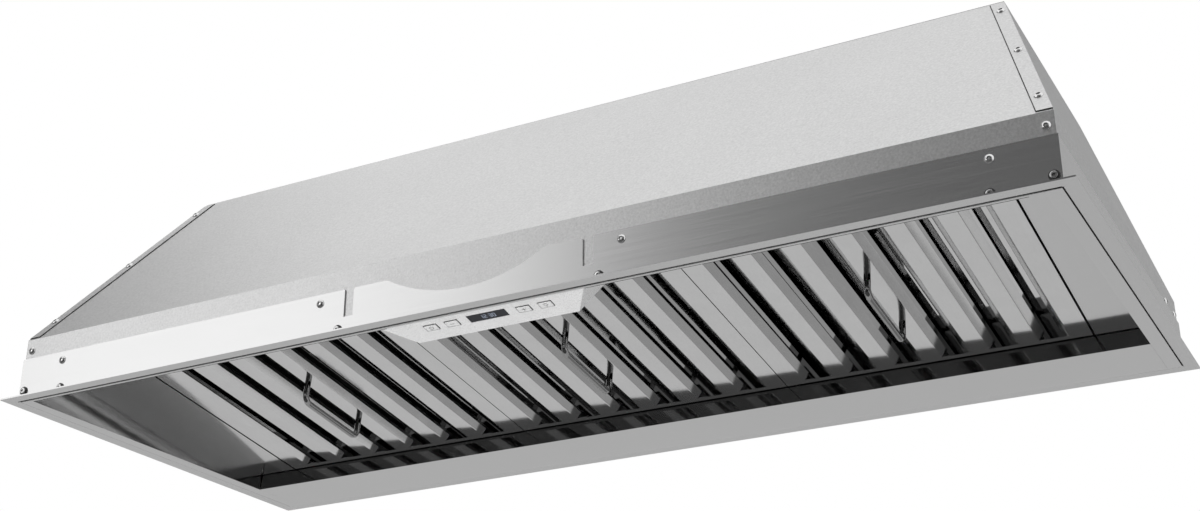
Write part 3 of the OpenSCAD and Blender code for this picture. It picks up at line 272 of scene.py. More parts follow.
def grid_faces(rows, columns, round_rows=False, round_columns=False):
    """Quads (i, j), (i, j+1), (i+1, j+1), (i+1, j) of a grid of points that is stored row by row."""
    i = np.arange(rows if round_rows else rows - 1)
    j = np.arange(columns if round_columns else columns - 1)
    a, b = np.meshgrid(i, j, indexing="ij")
    a2, b2 = (a + 1) % rows, (b + 1) % columns
    corners = (a * columns + b, a * columns + b2, a2 * columns + b2, a2 * columns + b)
    return np.stack(corners, axis=-1).reshape(-1, 4)


def outward(points, faces):
    """Turns a closed shape's faces outwards: over its triangles, p0 . (p1 x p2) adds up above zero."""
    middle = points - points.mean(axis=0)
    a, b, c = (middle[faces[:, k]] for k in (0, 1, 2))
    d = middle[faces[:, -1]]
    volume = np.einsum("ij,ij->i", a, np.cross(b, c)) + np.einsum("ij,ij->i", a, np.cross(c, d))
    return faces if volume.sum() >= 0 else faces[:, ::-1]


def joined(parts):
    """Several (points, faces) as one."""
    starts = np.cumsum([0] + [len(points) for points, _ in parts[:-1]])
    return (
        np.concatenate([points for points, _ in parts]),
        np.concatenate([faces + start for (_, faces), start in zip(parts, starts)]),
    )


def new_piece(name, shape, material, body, nodes=()):
    """Makes an object of (points, faces), which rides on a body and stands for CAD nodes. Quads with a
    doubled corner become triangles, and edges sharper than 32 degrees stay sharp."""
    points, faces = shape
    late, early = faces[:, 2] == faces[:, 3], faces[:, 0] == faces[:, 1]
    polygons = faces[~late & ~early].tolist() + faces[late][:, :3].tolist() + faces[early][:, 1:].tolist()
    mesh = bpy.data.meshes.new(name)
    mesh.from_pydata(points.tolist(), [], polygons)
    mesh.polygons.foreach_set("use_smooth", np.ones(len(mesh.polygons), bool))
    mesh.set_sharp_from_angle(angle=math.radians(32.0))
    mesh.update()
    mesh.materials.append(material)
    piece = bpy.data.objects.new(name, mesh)
    bpy.context.scene.collection.objects.link(piece)
    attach(piece, body)
    if nodes:
        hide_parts(*nodes)
    return piece


def closed_ends(rings, first, last):
    """Closed solid from a grid of rings, with one point at each end. A triangle is kept as a quad
    whose last corner is doubled."""
    rows, count = rings.shape[:2]
    points = np.concatenate([rings.reshape(-1, 3), [first, last]])
    j = np.arange(count)
    k = (j + 1) % count
    start, end = np.full(count, rows * count), np.full(count, rows * count + 1)
    up = (rows - 1) * count
    faces = np.concatenate([
        grid_faces(rows, count, round_columns=True),
        np.stack([k, j, start, start], -1), np.stack([j + up, k + up, end, end], -1),
    ])
    return points, outward(points, faces)


def turned(profile, sides, outline=None):
    """Closed solid of revolution. Profile rows are (r, z), the first and the last on the axis. The point
    at angle t is (r g cos t, r g sin t, z), where g is 1 on a circle, or the row's own share g(t)."""
    profile = np.asarray(profile, float)
    t = np.linspace(0.0, 2.0 * np.pi, sides, endpoint=False)
    r = profile[1:-1, :1] * (np.ones((len(profile) - 2, sides)) if outline is None else outline(t))
    rings = np.stack([r * np.cos(t), r * np.sin(t), np.broadcast_to(profile[1:-1, 1:2], r.shape)], -1)
    return closed_ends(rings, (0.0, 0.0, profile[0, 1]), (0.0, 0.0, profile[-1, 1]))


def turned_ring(profile, sides):
    """Closed profile (r, z) turned round the axis: the point at angle t is (r cos t, r sin t, z)."""
    profile = np.asarray(profile, float)
    t = np.linspace(0.0, 2.0 * np.pi, sides, endpoint=False)
    r = profile[:, :1]
    z = np.broadcast_to(profile[:, 1:2], (len(r), sides))
    points = np.stack([r * np.cos(t), r * np.sin(t), z], -1).reshape(-1, 3)
    return points, outward(points, grid_faces(len(r), sides, True, True))


def tube(path, radius, sides, across):
    """Tube round a plane path: at path point p with the path's normal n, the points are
    p + r (n cos a + across sin a)."""
    across = np.asarray(across, float)
    ahead = np.gradient(path, axis=0)
    ahead /= np.linalg.norm(ahead, axis=1, keepdims=True)
    normal = np.cross(across, ahead)
    a = np.linspace(0.0, 2.0 * np.pi, sides, endpoint=False)[None, :, None]
    rings = path[:, None] + radius * (normal[:, None] * np.cos(a) + across * np.sin(a))
    return closed_ends(rings, path[0], path[-1])


def rounded_path(corners, radii, steps=6):
    """Polyline whose inner corners are arcs: at each corner the arc of radius r touches both legs,
    r tan(turn / 2) away. A radius of zero leaves the corner sharp."""
    corners = np.asarray(corners, float)
    out = [corners[:1]]
    for before, here, after, r in zip(corners, corners[1:], corners[2:], radii):
        u, w = before - here, after - here
        u, w = u / np.linalg.norm(u), w / np.linalg.norm(w)
        half = 0.5 * math.acos(float(np.clip(u @ w, -1.0, 1.0)))
        if r <= 0.0 or half > 1.5:
            out.append(here[None])
            continue
        middle = here + (u + w) / np.linalg.norm(u + w) * r / math.sin(half)
        start = here + u * r / math.tan(half)
        sweep = math.pi - 2.0 * half
        s = np.linspace(0.0, sweep, steps + 1)[:, None]
        out.append(middle + (start - middle) * np.cos(s) - u * r * np.sin(s))
    out.append(corners[-1:])
    return np.concatenate(out)


def rounded_rectangle(w, d, r):
    """Outline of a rectangle with round corners, as (x, y) anticlockwise."""
    a = np.linspace(0.0, np.pi / 2, 6)
    corner = np.stack([np.cos(a), np.sin(a)], -1) * r
    out = []
    for k, (sx, sy) in enumerate(((1, 1), (-1, 1), (-1, -1), (1, -1))):
        c, s = math.cos(k * np.pi / 2), math.sin(k * np.pi / 2)
        turn = np.array([[c, s], [-s, c]])
        out.append(corner @ turn + (sx * (w / 2 - r), sy * (d / 2 - r)))
    return np.concatenate(out)


def at_height(outline, z):
    """Outline (x, y) as points at a height."""
    return np.column_stack([outline, np.full(len(outline), z)])


def layered(rings):
    """Closed solid from outlines of the same count, given as (outline, z), with a pole at both ends."""
    rows = np.stack([at_height(*ring) for ring in rings])
    return closed_ends(rows, rows[0].mean(axis=0), rows[-1].mean(axis=0))


def slab(corners, lift):
    """Flat strip between four corners, thickened by a vector: the corners, and they plus the lift."""
    low = np.asarray(corners, float)
    points = np.concatenate([low, low + np.asarray(lift, float)])
    faces = np.concatenate([grid_faces(2, 4, round_columns=True), [[3, 2, 1, 0], [4, 5, 6, 7]]])
    return points, outward(points, faces)


def framed(outer, inner, low, high):
    """Frame between two outlines of the same count: its profile is a rectangle, up along the outer
    outline and down along the inner one."""
    rows = ((outer, low), (outer, high), (inner, high), (inner, low))
    points = np.concatenate([at_height(*row) for row in rows])
    return points, outward(points, grid_faces(4, len(outer), True, True))


def moved(shape, by):
    """Shape shifted by a vector."""
    points, faces = shape
    return points + by, faces


def mirrored(shape):
    """Shape mirrored in y, with its faces turned round for it."""
    points, faces = shape
    return points * (1.0, -1.0, 1.0), faces[:, ::-1]


def stood(shape, place, across, up, out):
    """Shape with its x, y and z along across, up and out: p = place + x across + y up + z out."""
    points, faces = shape
    turn = np.array([across, up, out], float)
    if np.linalg.det(turn) < 0:
        faces = faces[:, ::-1]
    return points @ turn + np.asarray(place, float), faces


# Materials

class Nodes:
    """A node tree, with short ways to add a node and to feed its sockets."""

    def __init__(self, tree):
        self.tree = tree

    def feed(self, socket, value):
        """Links a socket to another node's output, or sets it to a plain value."""
        if isinstance(value, bpy.types.NodeSocket):
            self.tree.links.new(value, socket)
        else:
            socket.default_value = value

    def node(self, kind, sockets=(), **values):
        """Adds a node, sets its own values and then feeds its sockets, given by name or number."""
        made = self.tree.nodes.new(kind)
        for key, value in values.items():
            setattr(made, key, value)
        for key, value in dict(sockets).items():
            self.feed(made.inputs[key], value)
        return made

    def math(self, operation, a, b):
        return self.node("ShaderNodeMath", {0: a, 1: b}, operation=operation).outputs["Value"]

    def between(self, value, low, high, from_low=0.0, from_high=1.0):
        """Value from one range to another."""
        sockets = {"Value": value, "From Min": from_low, "From Max": from_high, "To Min": low, "To Max": high}
        return self.node("ShaderNodeMapRange", sockets).outputs["Result"]


class Finish(Nodes):
    """A Principled material with helpers for the patterns that feed it. A colour may be one grey level."""

    def __init__(self, name, colour, metallic=0.0, roughness=0.5):
        self.material = bpy.data.materials.new(name)
        self.material.use_nodes = True
        super().__init__(self.material.node_tree)
        self.colour = (colour,) * 3 if isinstance(colour, float) else tuple(colour)
        self.shader = self.tree.nodes["Principled BSDF"]
        self.give("Base Color", (*self.colour, 1.0))
        self.give("Metallic", metallic)
        self.give("Roughness", roughness)
        self.place = self.node("ShaderNodeTexCoord").outputs["Object"]

    def give(self, name, value):
        """Feeds one of the shader's own sockets."""
        self.feed(self.shader.inputs[name], value)

    def stretched(self, scale):
        """Object coordinates times a scale for each axis."""
        return self.node("ShaderNodeMapping", {"Scale": scale, "Vector": self.place}).outputs["Vector"]

    def noise(self, scale, detail=3.0, rough=0.5, vector=None):
        sockets = {"Scale": scale, "Detail": detail, "Roughness": rough, "Vector": vector or self.place}
        return self.node("ShaderNodeTexNoise", sockets).outputs["Fac"]

    def cells(self, scale, feature="F1", output="Color"):
        sockets = {"Scale": scale, "Vector": self.place}
        return self.node("ShaderNodeTexVoronoi", sockets, feature=feature).outputs[output]

    def spread(self, noise, low, high):
        """A noise's usual values, 0.3 to 0.7, spread from low to high."""
        return self.between(noise, low, high, 0.3, 0.7)

    def shade(self, factor):
        """Base colour times a varying factor near one."""
        made = self.node("ShaderNodeVectorMath", {0: self.colour, "Scale": factor}, operation="SCALE")
        self.give("Base Color", made.outputs["Vector"])

    def bump(self, height, strength, distance):
        sockets = {"Strength": strength, "Distance": distance, "Height": height}
        self.give("Normal", self.node("ShaderNodeBump", sockets).outputs["Normal"])


def galvanised(settings):
    """Zinc crystals of different grey, a fine grain and slow clouds over the sheet."""
    f = Finish("galvanised_sheet", settings.zinc, 1.0)
    crystals = f.cells(1.0 / settings.spangle)
    fine = f.noise(0.7 / settings.spangle, 3.0, 0.6)
    tone = f.math("MULTIPLY", f.between(crystals, 0.94, 1.06), f.spread(fine, 0.9, 1.1))
    f.shade(f.math("MULTIPLY", tone, f.spread(f.noise(9.0), 0.985, 1.015)))
    f.give("Roughness", f.spread(fine, 0.32, 0.42))
    f.bump(f.math("ADD", fine, f.between(crystals, 0.0, 0.5)), 0.45, 0.0002)
    return f.material


def brushed(name, settings, along, roughness=0.2):
    """Fine lines along one axis: noise that is drawn out along it, in tone, gloss and relief."""
    f = Finish(name, settings.stainless, 1.0)
    scale = [1.0 / settings.grain] * 3
    scale[along] = 9.0
    lines = f.noise(1.0, 3.0, 0.6, f.stretched(scale))
    clouds = f.noise(4.0, 2.0)
    f.shade(f.math("MULTIPLY", f.spread(lines, 0.985, 1.015), f.spread(clouds, 0.99, 1.01)))
    f.give("Roughness", f.spread(lines, roughness * 0.85, roughness * 1.2))
    f.bump(lines, 0.02, 0.0001)
    return f.material


def polished(name, settings, roughness):
    """Smooth rolled sheet with a slight wave, faint rolling lines and smudges."""
    f = Finish(name, settings.polished, 1.0)
    lines = f.noise(1.0, 2.0, 0.6, f.stretched((900.0, 12.0, 900.0)))
    smudge = f.noise(26.0, 4.0, 0.6)
    f.shade(f.math("MULTIPLY", f.spread(lines, 0.975, 1.025), f.spread(smudge, 0.975, 1.025)))
    f.give("Roughness", f.spread(smudge, roughness * 0.8, roughness * 1.25))
    f.bump(f.noise(9.0, 1.0, 0.4), 0.1, 0.0006)
    return f.material


def bright(name, colour, roughness):
    """Polished or plated metal with faint smudges."""
    f = Finish(name, colour, 1.0)
    smudge = f.noise(140.0, 4.0, 0.6)
    f.shade(f.spread(smudge, 0.97, 1.02))
    f.give("Roughness", f.spread(smudge, roughness * 0.8, roughness * 1.5))
    return f.material


def recess_shaded(name, colour, roughness, depth):
    """Plated metal with painted shade in its recesses: its colour falls with a power of the share of the sky
    that is open within a millimetre and a half."""
    f = Finish(name, colour, 1.0)
    # Painted shade: the occlusion below darkens the base colour in recesses
    recess_shade = f.node("ShaderNodeAmbientOcclusion", {"Distance": 0.0015}, only_local=True, samples=8)
    smudge = f.spread(f.noise(140.0, 4.0, 0.6), 0.97, 1.02)
    f.shade(f.math("MULTIPLY", smudge, f.math("POWER", recess_shade.outputs["AO"], depth)))
    f.give("Roughness", f.spread(f.noise(300.0, 2.0), roughness * 0.85, roughness * 1.2))
    return f.material


def moulded(name, colour, roughness=0.45, relief=0.15, metallic=0.0):
    """Moulded or coated surface with a fine orange-peel grain."""
    f = Finish(name, colour, metallic)
    grain = f.noise(1500.0, 2.0)
    f.shade(f.spread(f.noise(30.0, 2.0), 0.97, 1.03))
    f.give("Roughness", f.spread(grain, roughness - 0.06, roughness + 0.06))
    f.bump(grain, relief, 0.0001)
    return f.material


def dark_glass():
    """Smooth dark window with a faint cloud in its tint."""
    f = Finish("display_glass", (0.01, 0.011, 0.016), roughness=0.1)
    f.shade(f.spread(f.noise(60.0, 2.0), 0.8, 1.25))
    f.give("Specular IOR Level", 0.25)
    return f.material


def frosted():
    """White frosted lens with a fine grain."""
    f = Finish("frosted_lens", (0.88, 0.88, 0.86))
    grain = f.noise(2200.0, 2.0)
    f.shade(f.spread(grain, 0.97, 1.0))
    f.give("Subsurface Weight", 0.15)
    f.give("Subsurface Scale", 0.002)
    f.bump(grain, 0.2, 0.0001)
    return f.material


def lacquered_board():
    """Green lacquer over copper tracks: a mosaic of cells, lighter where a track runs."""
    f = Finish("circuit_board", (0.03, 0.16, 0.07), roughness=0.35)
    tracks = f.cells(160.0, "DISTANCE_TO_EDGE", "Distance")
    f.shade(f.between(tracks, 1.6, 0.9, 0.0, 0.12))
    f.bump(tracks, 0.2, 0.0001)
    return f.material


def glowing(name, colour, level):
    """Lit segment with a slightly uneven glow."""
    f = Finish(name, colour, roughness=0.4)
    f.give("Emission Color", (*colour, 1.0))
    f.give("Emission Strength", f.spread(f.noise(900.0, 2.0), level * 0.85, level * 1.15))
    return f.material


def dress(material, *nodes):
    """Gives CAD nodes a material."""
    for name in nodes:
        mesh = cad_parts[name].data
        mesh.materials.clear()
        mesh.materials.append(material)


# Stage

def stage_sheet(name, corners):
    """Flat sheet. It faces the side from which its corners run anticlockwise."""
    mesh = bpy.data.meshes.new(name)
    mesh.from_pydata(corners, [], [(0, 1, 2, 3)])
    mesh.update()
    sheet = bpy.data.objects.new(name, mesh)
    bpy.context.scene.collection.objects.link(sheet)
    return sheet


def card_corners(x, y, z):
    """Corners, in order round it, of a card that is flat along one of the axes."""
    ends = np.array([x, y, z])
    i, j = np.flatnonzero(ends[:, 0] != ends[:, 1])
    corners = np.tile(ends[:, 0], (4, 1))
    corners[[1, 2], i] = ends[i, 1]
    corners[[2, 3], j] = ends[j, 1]
    return corners.tolist()


def reflected_card(name, corners, axis, stops):
    """Card that only mirror-like surfaces see. Stops are (place along the axis in metres, level)."""
    card = stage_sheet(name, corners)
    card.visible_camera = card.visible_diffuse = card.visible_transmission = False
    card.visible_shadow = card.visible_volume_scatter = False
    material = bpy.data.materials.new(name)
    material.use_nodes = True
    material.node_tree.nodes.clear()
    f = Nodes(material.node_tree)
    low, high = stops[0][0], stops[-1][0]
    top = max(level for _, level in stops)
    split = f.node("ShaderNodeSeparateXYZ", {"Vector": f.node("ShaderNodeTexCoord").outputs["Object"]})
    along = f.between(split.outputs[axis], 0.0, 1.0, low, high)
    ramp = f.node("ShaderNodeFloatCurve", {"Value": along})
    points = [((where - low) / (high - low), level / top) for where, level in stops]
    curve = ramp.mapping.curves[0]
    curve.points[0].location, curve.points[1].location = points[0], points[-1]
    for place, level in points[1:-1]:
        curve.points.new(place, level)
    ramp.mapping.update()
    emit = f.node("ShaderNodeEmission", {"Strength": f.math("MULTIPLY", ramp.outputs["Value"], top)})
    f.node("ShaderNodeOutputMaterial", {"Surface": emit.outputs["Emission"]})
    card.data.materials.append(material)


def soft_lamp(name, place, size, power):
    """Square lamp that points at the hood's lower middle and shows in no reflection."""
    lamp = bpy.data.lights.new(name, "AREA")
    lamp.shape, lamp.size, lamp.size_y, lamp.energy = "RECTANGLE", size, size, power
    holder = bpy.data.objects.new(name, lamp)
    bpy.context.scene.collection.objects.link(holder)
    ahead = np.array(LAMP_TARGET) - place
    ahead /= np.linalg.norm(ahead)
    flat = math.hypot(ahead[0], ahead[1])
    holder.location = place
    holder.rotation_euler = (math.atan2(flat, -ahead[2]), 0.0, math.atan2(-ahead[0], ahead[1]))
    holder.visible_glossy = holder.visible_camera = False


class HOOD_OT_stage(bpy.types.Operator):
    """Sets the camera, the white surround, the floor and the soft light"""

    bl_idname = "hood.stage"
    bl_label = "Studio"

    def execute(self, context):
        s = context.scene.hood_stage
        camera = bpy.data.cameras.new("camera")
        camera.sensor_width, camera.lens = 36.0, s.lens
        camera.clip_start, camera.clip_end = 0.01, 100.0
        holder = bpy.data.objects.new("camera", camera)
        holder.location, holder.rotation_euler = s.place, s.turn
        context.scene.collection.objects.link(holder)
        context.scene.camera = holder
        context.scene.view_settings.view_transform = "Standard"
        self.surround(context, s)
        self.floor(s)
        for name, x, y, z, axis, stops in CARDS:
            reflected_card(name, card_corners(x, y, z), axis, stops)
        soft_lamp("key_lamp", (-1.6, -3.2, 2.6), 2.6, s.key_power)
        soft_lamp("fill_lamp", (-1.2, -3.3, -1.8), 1.8, s.fill_power)
        return {"FINISHED"}

    def surround(self, context, s):
        """White for the camera, for gloss and through glass, and a soft level for all other light."""
        world = bpy.data.worlds.new("surround")
        world.use_nodes = True
        context.scene.world = world
        world.node_tree.nodes.clear()
        f = Nodes(world.node_tree)
        ray = f.node("ShaderNodeLightPath").outputs
        seen = f.math("MAXIMUM", ray["Is Camera Ray"], ray["Is Glossy Ray"])
        seen = f.math("MAXIMUM", seen, ray["Is Transmission Ray"])
        sockets = {"Color": (1.0, 1.0, 1.0, 1.0), "Strength": f.between(seen, s.sky_level, 1.0)}
        sky = f.node("ShaderNodeBackground", sockets)
        f.node("ShaderNodeOutputWorld", {"Surface": sky.outputs["Background"]})

    def floor(self, s):
        """Pale floor that is clear from below, so that it never hides the hood."""
        half = s.floor_size / 2
        corners = [(x * half, y * half, s.floor_z) for x, y in ((-1, -1), (1, -1), (1, 1), (-1, 1))]
        sheet = stage_sheet("floor", corners)
        f = Finish("studio_floor", s.floor_colour, roughness=0.8)
        f.shade(f.spread(f.noise(0.6, 2.0), 0.99, 1.01))
        f.give("Specular IOR Level", 0.0)
        below = f.node("ShaderNodeNewGeometry").outputs["Backfacing"]
        clear = f.node("ShaderNodeBsdfTransparent").outputs["BSDF"]
        mix = f.node("ShaderNodeMixShader", {"Fac": below, 1: f.shader.outputs["BSDF"], 2: clear})
        f.feed(f.tree.nodes["Material Output"].inputs["Surface"], mix.outputs["Shader"])
        sheet.data.materials.append(f.material)


# Pieces

def on_slope(s, side, up, inward):
    """Point on the sloped front: a share up the slope's rise, and a distance in from a side's hip."""
    x = side * (s.house_x - s.side_run * up - inward)
    return np.array([x, s.house_y + s.front_run * up, s.fold_z + s.rise * up])


class HOOD_OT_housing(bpy.types.Operator):
    """Gives the housing's sheets their galvanised finish"""

    bl_idname = "hood.housing"
    bl_label = "Housing"

    def execute(self, context):
        sheet = galvanised(context.scene.hood_metal)
        dress(
            sheet, "housing_front", "housing_left", "housing_right", "housing_back", "housing_top",
            "scroll_wrap", "scroll_sides", "inlet_rings", "motor_bracket", "junction_box", "junction_cover",
            "damper_flap_front", "damper_flap_rear",
        )
        # Black strips on the slope along each hip flange's inner edge and under its lower end: painted shadow
        # of the gap under the flange
        s = context.scene.hood_screw
        slope = math.hypot(s.rise, s.front_run)
        out = np.array([0.0, -s.rise, s.front_run]) / slope * s.hip_shadow_t
        low, high = s.hip_lift / s.rise, 1.0 - s.hip_lift / s.rise
        below = low - s.hip_shadow_w / slope
        strips = ((below, high, s.hip_w, s.hip_w + s.hip_shadow_w), (below, low, 0.0, s.hip_w))
        hip_shadow_strips = [
            slab([on_slope(s, side, *at) for at in ((u0, w0), (u1, w0), (u1, w1), (u0, w1))], out)
            for side in (-1, 1) for u0, u1, w0, w1 in strips
        ]
        new_piece("hip_flange_shadows", joined(hip_shadow_strips), moulded("hip_shadow_black", SHADOW_BLACK, 0.6), "hood")
        return {"FINISHED"}


class HOOD_OT_trim(bpy.types.Operator):
    """Gives the trim and the liner their brushed stainless finish"""

    bl_idname = "hood.trim"
    bl_label = "Trim and liner"

    def execute(self, context):
        metal = context.scene.hood_metal
        dress(brushed("brushed_along", metal, 0), "trim_front", "trim_rear", "light_panel")
        dress(brushed("brushed_across", metal, 1), "trim_left", "trim_right")
        dress(brushed("liner_along", metal, 0, 0.11), "liner_rear")
        dress(brushed("liner_across", metal, 1, 0.11), "liner_left", "liner_right")
        # Dark beads along the front lip: painted shadow of the gap at the lip
        lip_shadow_beads = [
            tube(np.array([(x, LIP_SHADOW_Y, LIP_SHADOW_Z) for x in span]), LIP_SHADOW_R, 12, (0.0, 1.0, 0.0))
            for span in LIP_SHADOW_SPANS
        ]
        new_piece("lip_shadow_bead", joined(lip_shadow_beads), moulded("lip_shadow_black", 0.02, 0.5), "hood")
        return {"FINISHED"}


def on_filter(shape, x, s):
    """Filter plane to the hood: (u, v, h) becomes (x + u, rear_y - v cos a + h sin a,
    rear_z + v sin a + h cos a). This turns shapes inside out, so their faces turn round as well."""
    points, faces = shape
    u, v, h = points.T
    c, n = math.cos(s.tilt), math.sin(s.tilt)
    return np.stack([x + u, s.rear_y - v * c + h * n, s.rear_z + v * n + h * c], -1), faces[:, ::-1]


def ribbon_sheet(profile, v_low, v_high, thick):
    """Closed sheet whose profile (u, h) runs along v: its walls are the profile moved by half the
    thickness along its normal, and v runs from v_low to v_high, one number each or one a point."""
    ahead = np.gradient(profile, axis=0)
    ahead /= np.linalg.norm(ahead, axis=1, keepdims=True)
    normal = np.stack([-ahead[:, 1], ahead[:, 0]], -1) * thick / 2
    loop = np.concatenate([profile - normal, (profile + normal)[::-1]])
    v_low, v_high = (np.broadcast_to(v, len(profile)) for v in (v_low, v_high))
    low = np.concatenate([v_low, v_low[::-1]])
    high = np.concatenate([v_high, v_high[::-1]])
    rows = [np.stack([loop[:, 0], low + (high - low) * t, loop[:, 1]], -1) for t in (0.0, 1.0)]
    count = len(loop)
    half = count // 2
    points = np.concatenate(rows)
    faces = grid_faces(2, count, round_columns=True)
    i = np.arange(half - 1)
    end = np.stack([i, i + 1, count - 2 - i, count - 1 - i], -1)
    faces = np.concatenate([faces, end[:, ::-1], end + count])
    return points, outward(points, faces)


def filter_face(x, s, width):
    """Lower sheet of a filter: flat bars with turned-up flanks between the slots, and flat strips round
    them. A bar's profile is a line with round bends, which climbs by flank_rise over flank_run beside
    each slot."""
    parts = []
    mid = s.sheet / 2
    bar = (width - 2 * s.edge - s.slots * s.slot_w) / (s.slots - 1)
    pitch = s.slot_w + bar
    first = -(s.slots - 1) / 2 * pitch - s.slot_w / 2
    bars = [(-width / 2, first)]
    bars += [(first + k * pitch + s.slot_w, first + (k + 1) * pitch) for k in range(s.slots - 1)]
    bars += [(first + (s.slots - 1) * pitch + s.slot_w, width / 2)]
    for k, (a, b) in enumerate(bars):
        corners, radii = [(a, mid), (b, mid)], []
        if k > 0:
            corners.insert(0, (a - s.flank_run, mid + s.flank_rise))
            radii.append(s.bend)
        if k < len(bars) - 1:
            corners.append((b + s.flank_run, mid + s.flank_rise))
            radii.append(s.bend)
        profile = rounded_path(corners, radii)
        if k in (0, len(bars) - 1):
            first_bar = k == 0
            inner = a + s.notch_w if first_bar else b - s.notch_w
            strip = [(a, mid), (inner, mid)] if first_bar else [(inner, mid), (b, mid)]
            parts.append(ribbon_sheet(np.array(strip), s.slot_end, s.depth - s.notch_l, s.sheet))
            keep = profile[:, 0] > inner if first_bar else profile[:, 0] < inner
            profile, start = profile[keep], [(inner, mid)]
            profile = np.vstack([start, profile] if first_bar else [profile, start])
        back = s.slot_end + s.mitre * (profile[:, 1] - mid) / s.flank_rise
        parts.append(ribbon_sheet(profile, back, s.depth - back, s.sheet))
    for reach, low, high in (
        (width / 2, 0.0, s.slot_end),
        (width / 2 - s.notch_w, s.depth - s.slot_end, s.depth),
    ):
        parts.append(ribbon_sheet(np.array([(-reach, mid), (reach, mid)]), low, high, s.sheet))
    return on_filter(joined(parts), x, s)


class HOOD_OT_filters(bpy.types.Operator):
    """Makes the filters' slotted faces and gives their baffles and frames a polished finish"""

    bl_idname = "hood.filters"
    bl_label = "Filters"

    def execute(self, context):
        s = context.scene.hood_filter
        sheet = polished("polished_sheet", context.scene.hood_metal, 0.12)
        mirror = polished("mirror_sheet", context.scene.hood_metal, 0.05)
        for name in FILTERS:
            low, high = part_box(f"filter_{name}_face")
            new_piece(
                f"slotted_face_{name}", filter_face((low.x + high.x) / 2, s, high.x - low.x), sheet,
                f"filter_{name}", [f"filter_{name}_face"],
            )
            dress(mirror, f"filter_{name}_baffles", f"filter_{name}_frame")
        return {"FINISHED"}


def handle_path(s):
    """Middle line of the handle in (v, h): down a leg, along the rod and up the other leg, with round
    bends."""
    middle = s.depth / 2
    a, b = middle - s.handle_span / 2, middle + s.handle_span / 2
    corners = [(a, 0.0), (a, -s.handle_reach), (b, -s.handle_reach), (b, 0.0)]
    return rounded_path(corners, [s.handle_bend] * 2, 14)


def rod_handle(x, s):
    """Bent rod with threaded ends: a tube along the handle's path, and on each leg a stud whose radius
    waves nine times by a tenth of a millimetre for the thread."""
    v, h = handle_path(s).T
    rod = tube(np.stack([np.zeros_like(v), v, h], -1), s.handle_r, 32, (1.0, 0.0, 0.0))
    thread_h = 0.0001
    turns = np.linspace(0, 9, 41)
    z = np.linspace(-0.001, s.sheet + s.stud_l, len(turns))
    wave = s.stud_r - thread_h + thread_h * np.cos(2 * np.pi * turns)
    stud = turned(np.column_stack([np.r_[0.0, wave, 0.0], np.r_[z[0], z, z[-1]]]), 24)
    studs = [moved(stud, (0.0, leg, 0.0)) for leg in (v[0], v[-1])]
    return on_filter(joined([rod, *studs]), x, s)


class HOOD_OT_handles(bpy.types.Operator):
    """Makes the filters' bent rod handles and dresses their nuts"""

    bl_idname = "hood.handles"
    bl_label = "Handles"

    def execute(self, context):
        s = context.scene.hood_filter
        metal = context.scene.hood_metal
        # Dark base colour on the chrome rods: painted reflection of dark surroundings
        rod = bright("handle_chrome_darkened", metal.rod, 0.06)
        plated = bright("plated_nut", metal.plated, 0.25)
        for name in FILTERS:
            low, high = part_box(f"filter_{name}_handle")
            new_piece(
                f"rod_handle_{name}", rod_handle((low.x + high.x) / 2, s), rod, f"filter_{name}",
                [f"filter_{name}_handle"],
            )
            dress(plated, f"handle_nuts_{name}")
        dress(bright("spring_steel", metal.plated, 0.18), "filter_catches")
        dress(moulded("hanger_block", 0.03), "filter_hangers")
        return {"FINISHED"}


def hexagon(t):
    """Share of the radius at which a six-sided outline lies at angle t: cos 30 / cos(t mod 60 - 30)."""
    return math.cos(np.pi / 6) / np.cos(np.mod(t, np.pi / 3) - np.pi / 6)


def recessed_screw(rows, recess_rows):
    """Screw as a turned profile (r, z) from the tip of its shank up over its head and down into a
    recess, whose rows take a six-sided outline."""
    round_rows, inner = len(rows) - 1, len(rows) + len(recess_rows) - 2

    def outline(t):
        return np.where(np.arange(inner)[:, None] < round_rows, 1.0, hexagon(t))

    return turned([*rows, *recess_rows], 48, outline)


def dome_screw(s):
    """Dome head: above the rim z = top - R + sqrt(R^2 - r^2)."""
    dome_h = s.head_h - s.rim_h
    big = (s.head_r ** 2 + dome_h ** 2) / (2 * dome_h)
    r = np.linspace(s.head_r - 0.00015, s.recess_r + 0.0002, 8)
    z = s.head_h - big + np.sqrt(big ** 2 - r ** 2)
    edge = s.head_h - big + math.sqrt(big ** 2 - s.recess_r ** 2)
    rows = [
        (0.0, -s.shank_l), (s.shank_r * 0.7, -s.shank_l), (s.shank_r, -s.shank_l + 0.0006),
        (s.shank_r, 0.0), (s.head_r - 0.0001, 0.0), (s.head_r, 0.0001), (s.head_r, s.rim_h - 0.0001),
        *zip(r, z),
    ]
    recess = [
        (s.recess_r + 0.00008, edge), (s.recess_r, edge - 0.00008),
        (s.recess_r, s.head_h - s.recess_h), (0.0, s.head_h - s.recess_h),
    ]
    return recessed_screw(rows, recess)


def socket_screw(s):
    """Cylinder head with a bevelled rim and a six-sided socket."""
    base, top = s.washer_h, s.washer_h + s.socket_head_h
    rows = [
        (0.0, -s.shank_l), (s.socket_shank_r * 0.8, -s.shank_l), (s.socket_shank_r, -s.shank_l + 0.0005),
        (s.socket_shank_r, base), (s.socket_head_r - 0.0001, base), (s.socket_head_r, base + 0.0001),
        (s.socket_head_r, top - 0.0003), (s.socket_head_r - 0.0001, top - 0.0001),
        (s.socket_head_r - 0.0003, top),
    ]
    floor = top - s.socket_head_h / 2
    recess = [(s.socket_r + 0.0001, top), (s.socket_r, top - 0.0001), (s.socket_r, floor), (0.0, floor)]
    return recessed_screw(rows, recess)


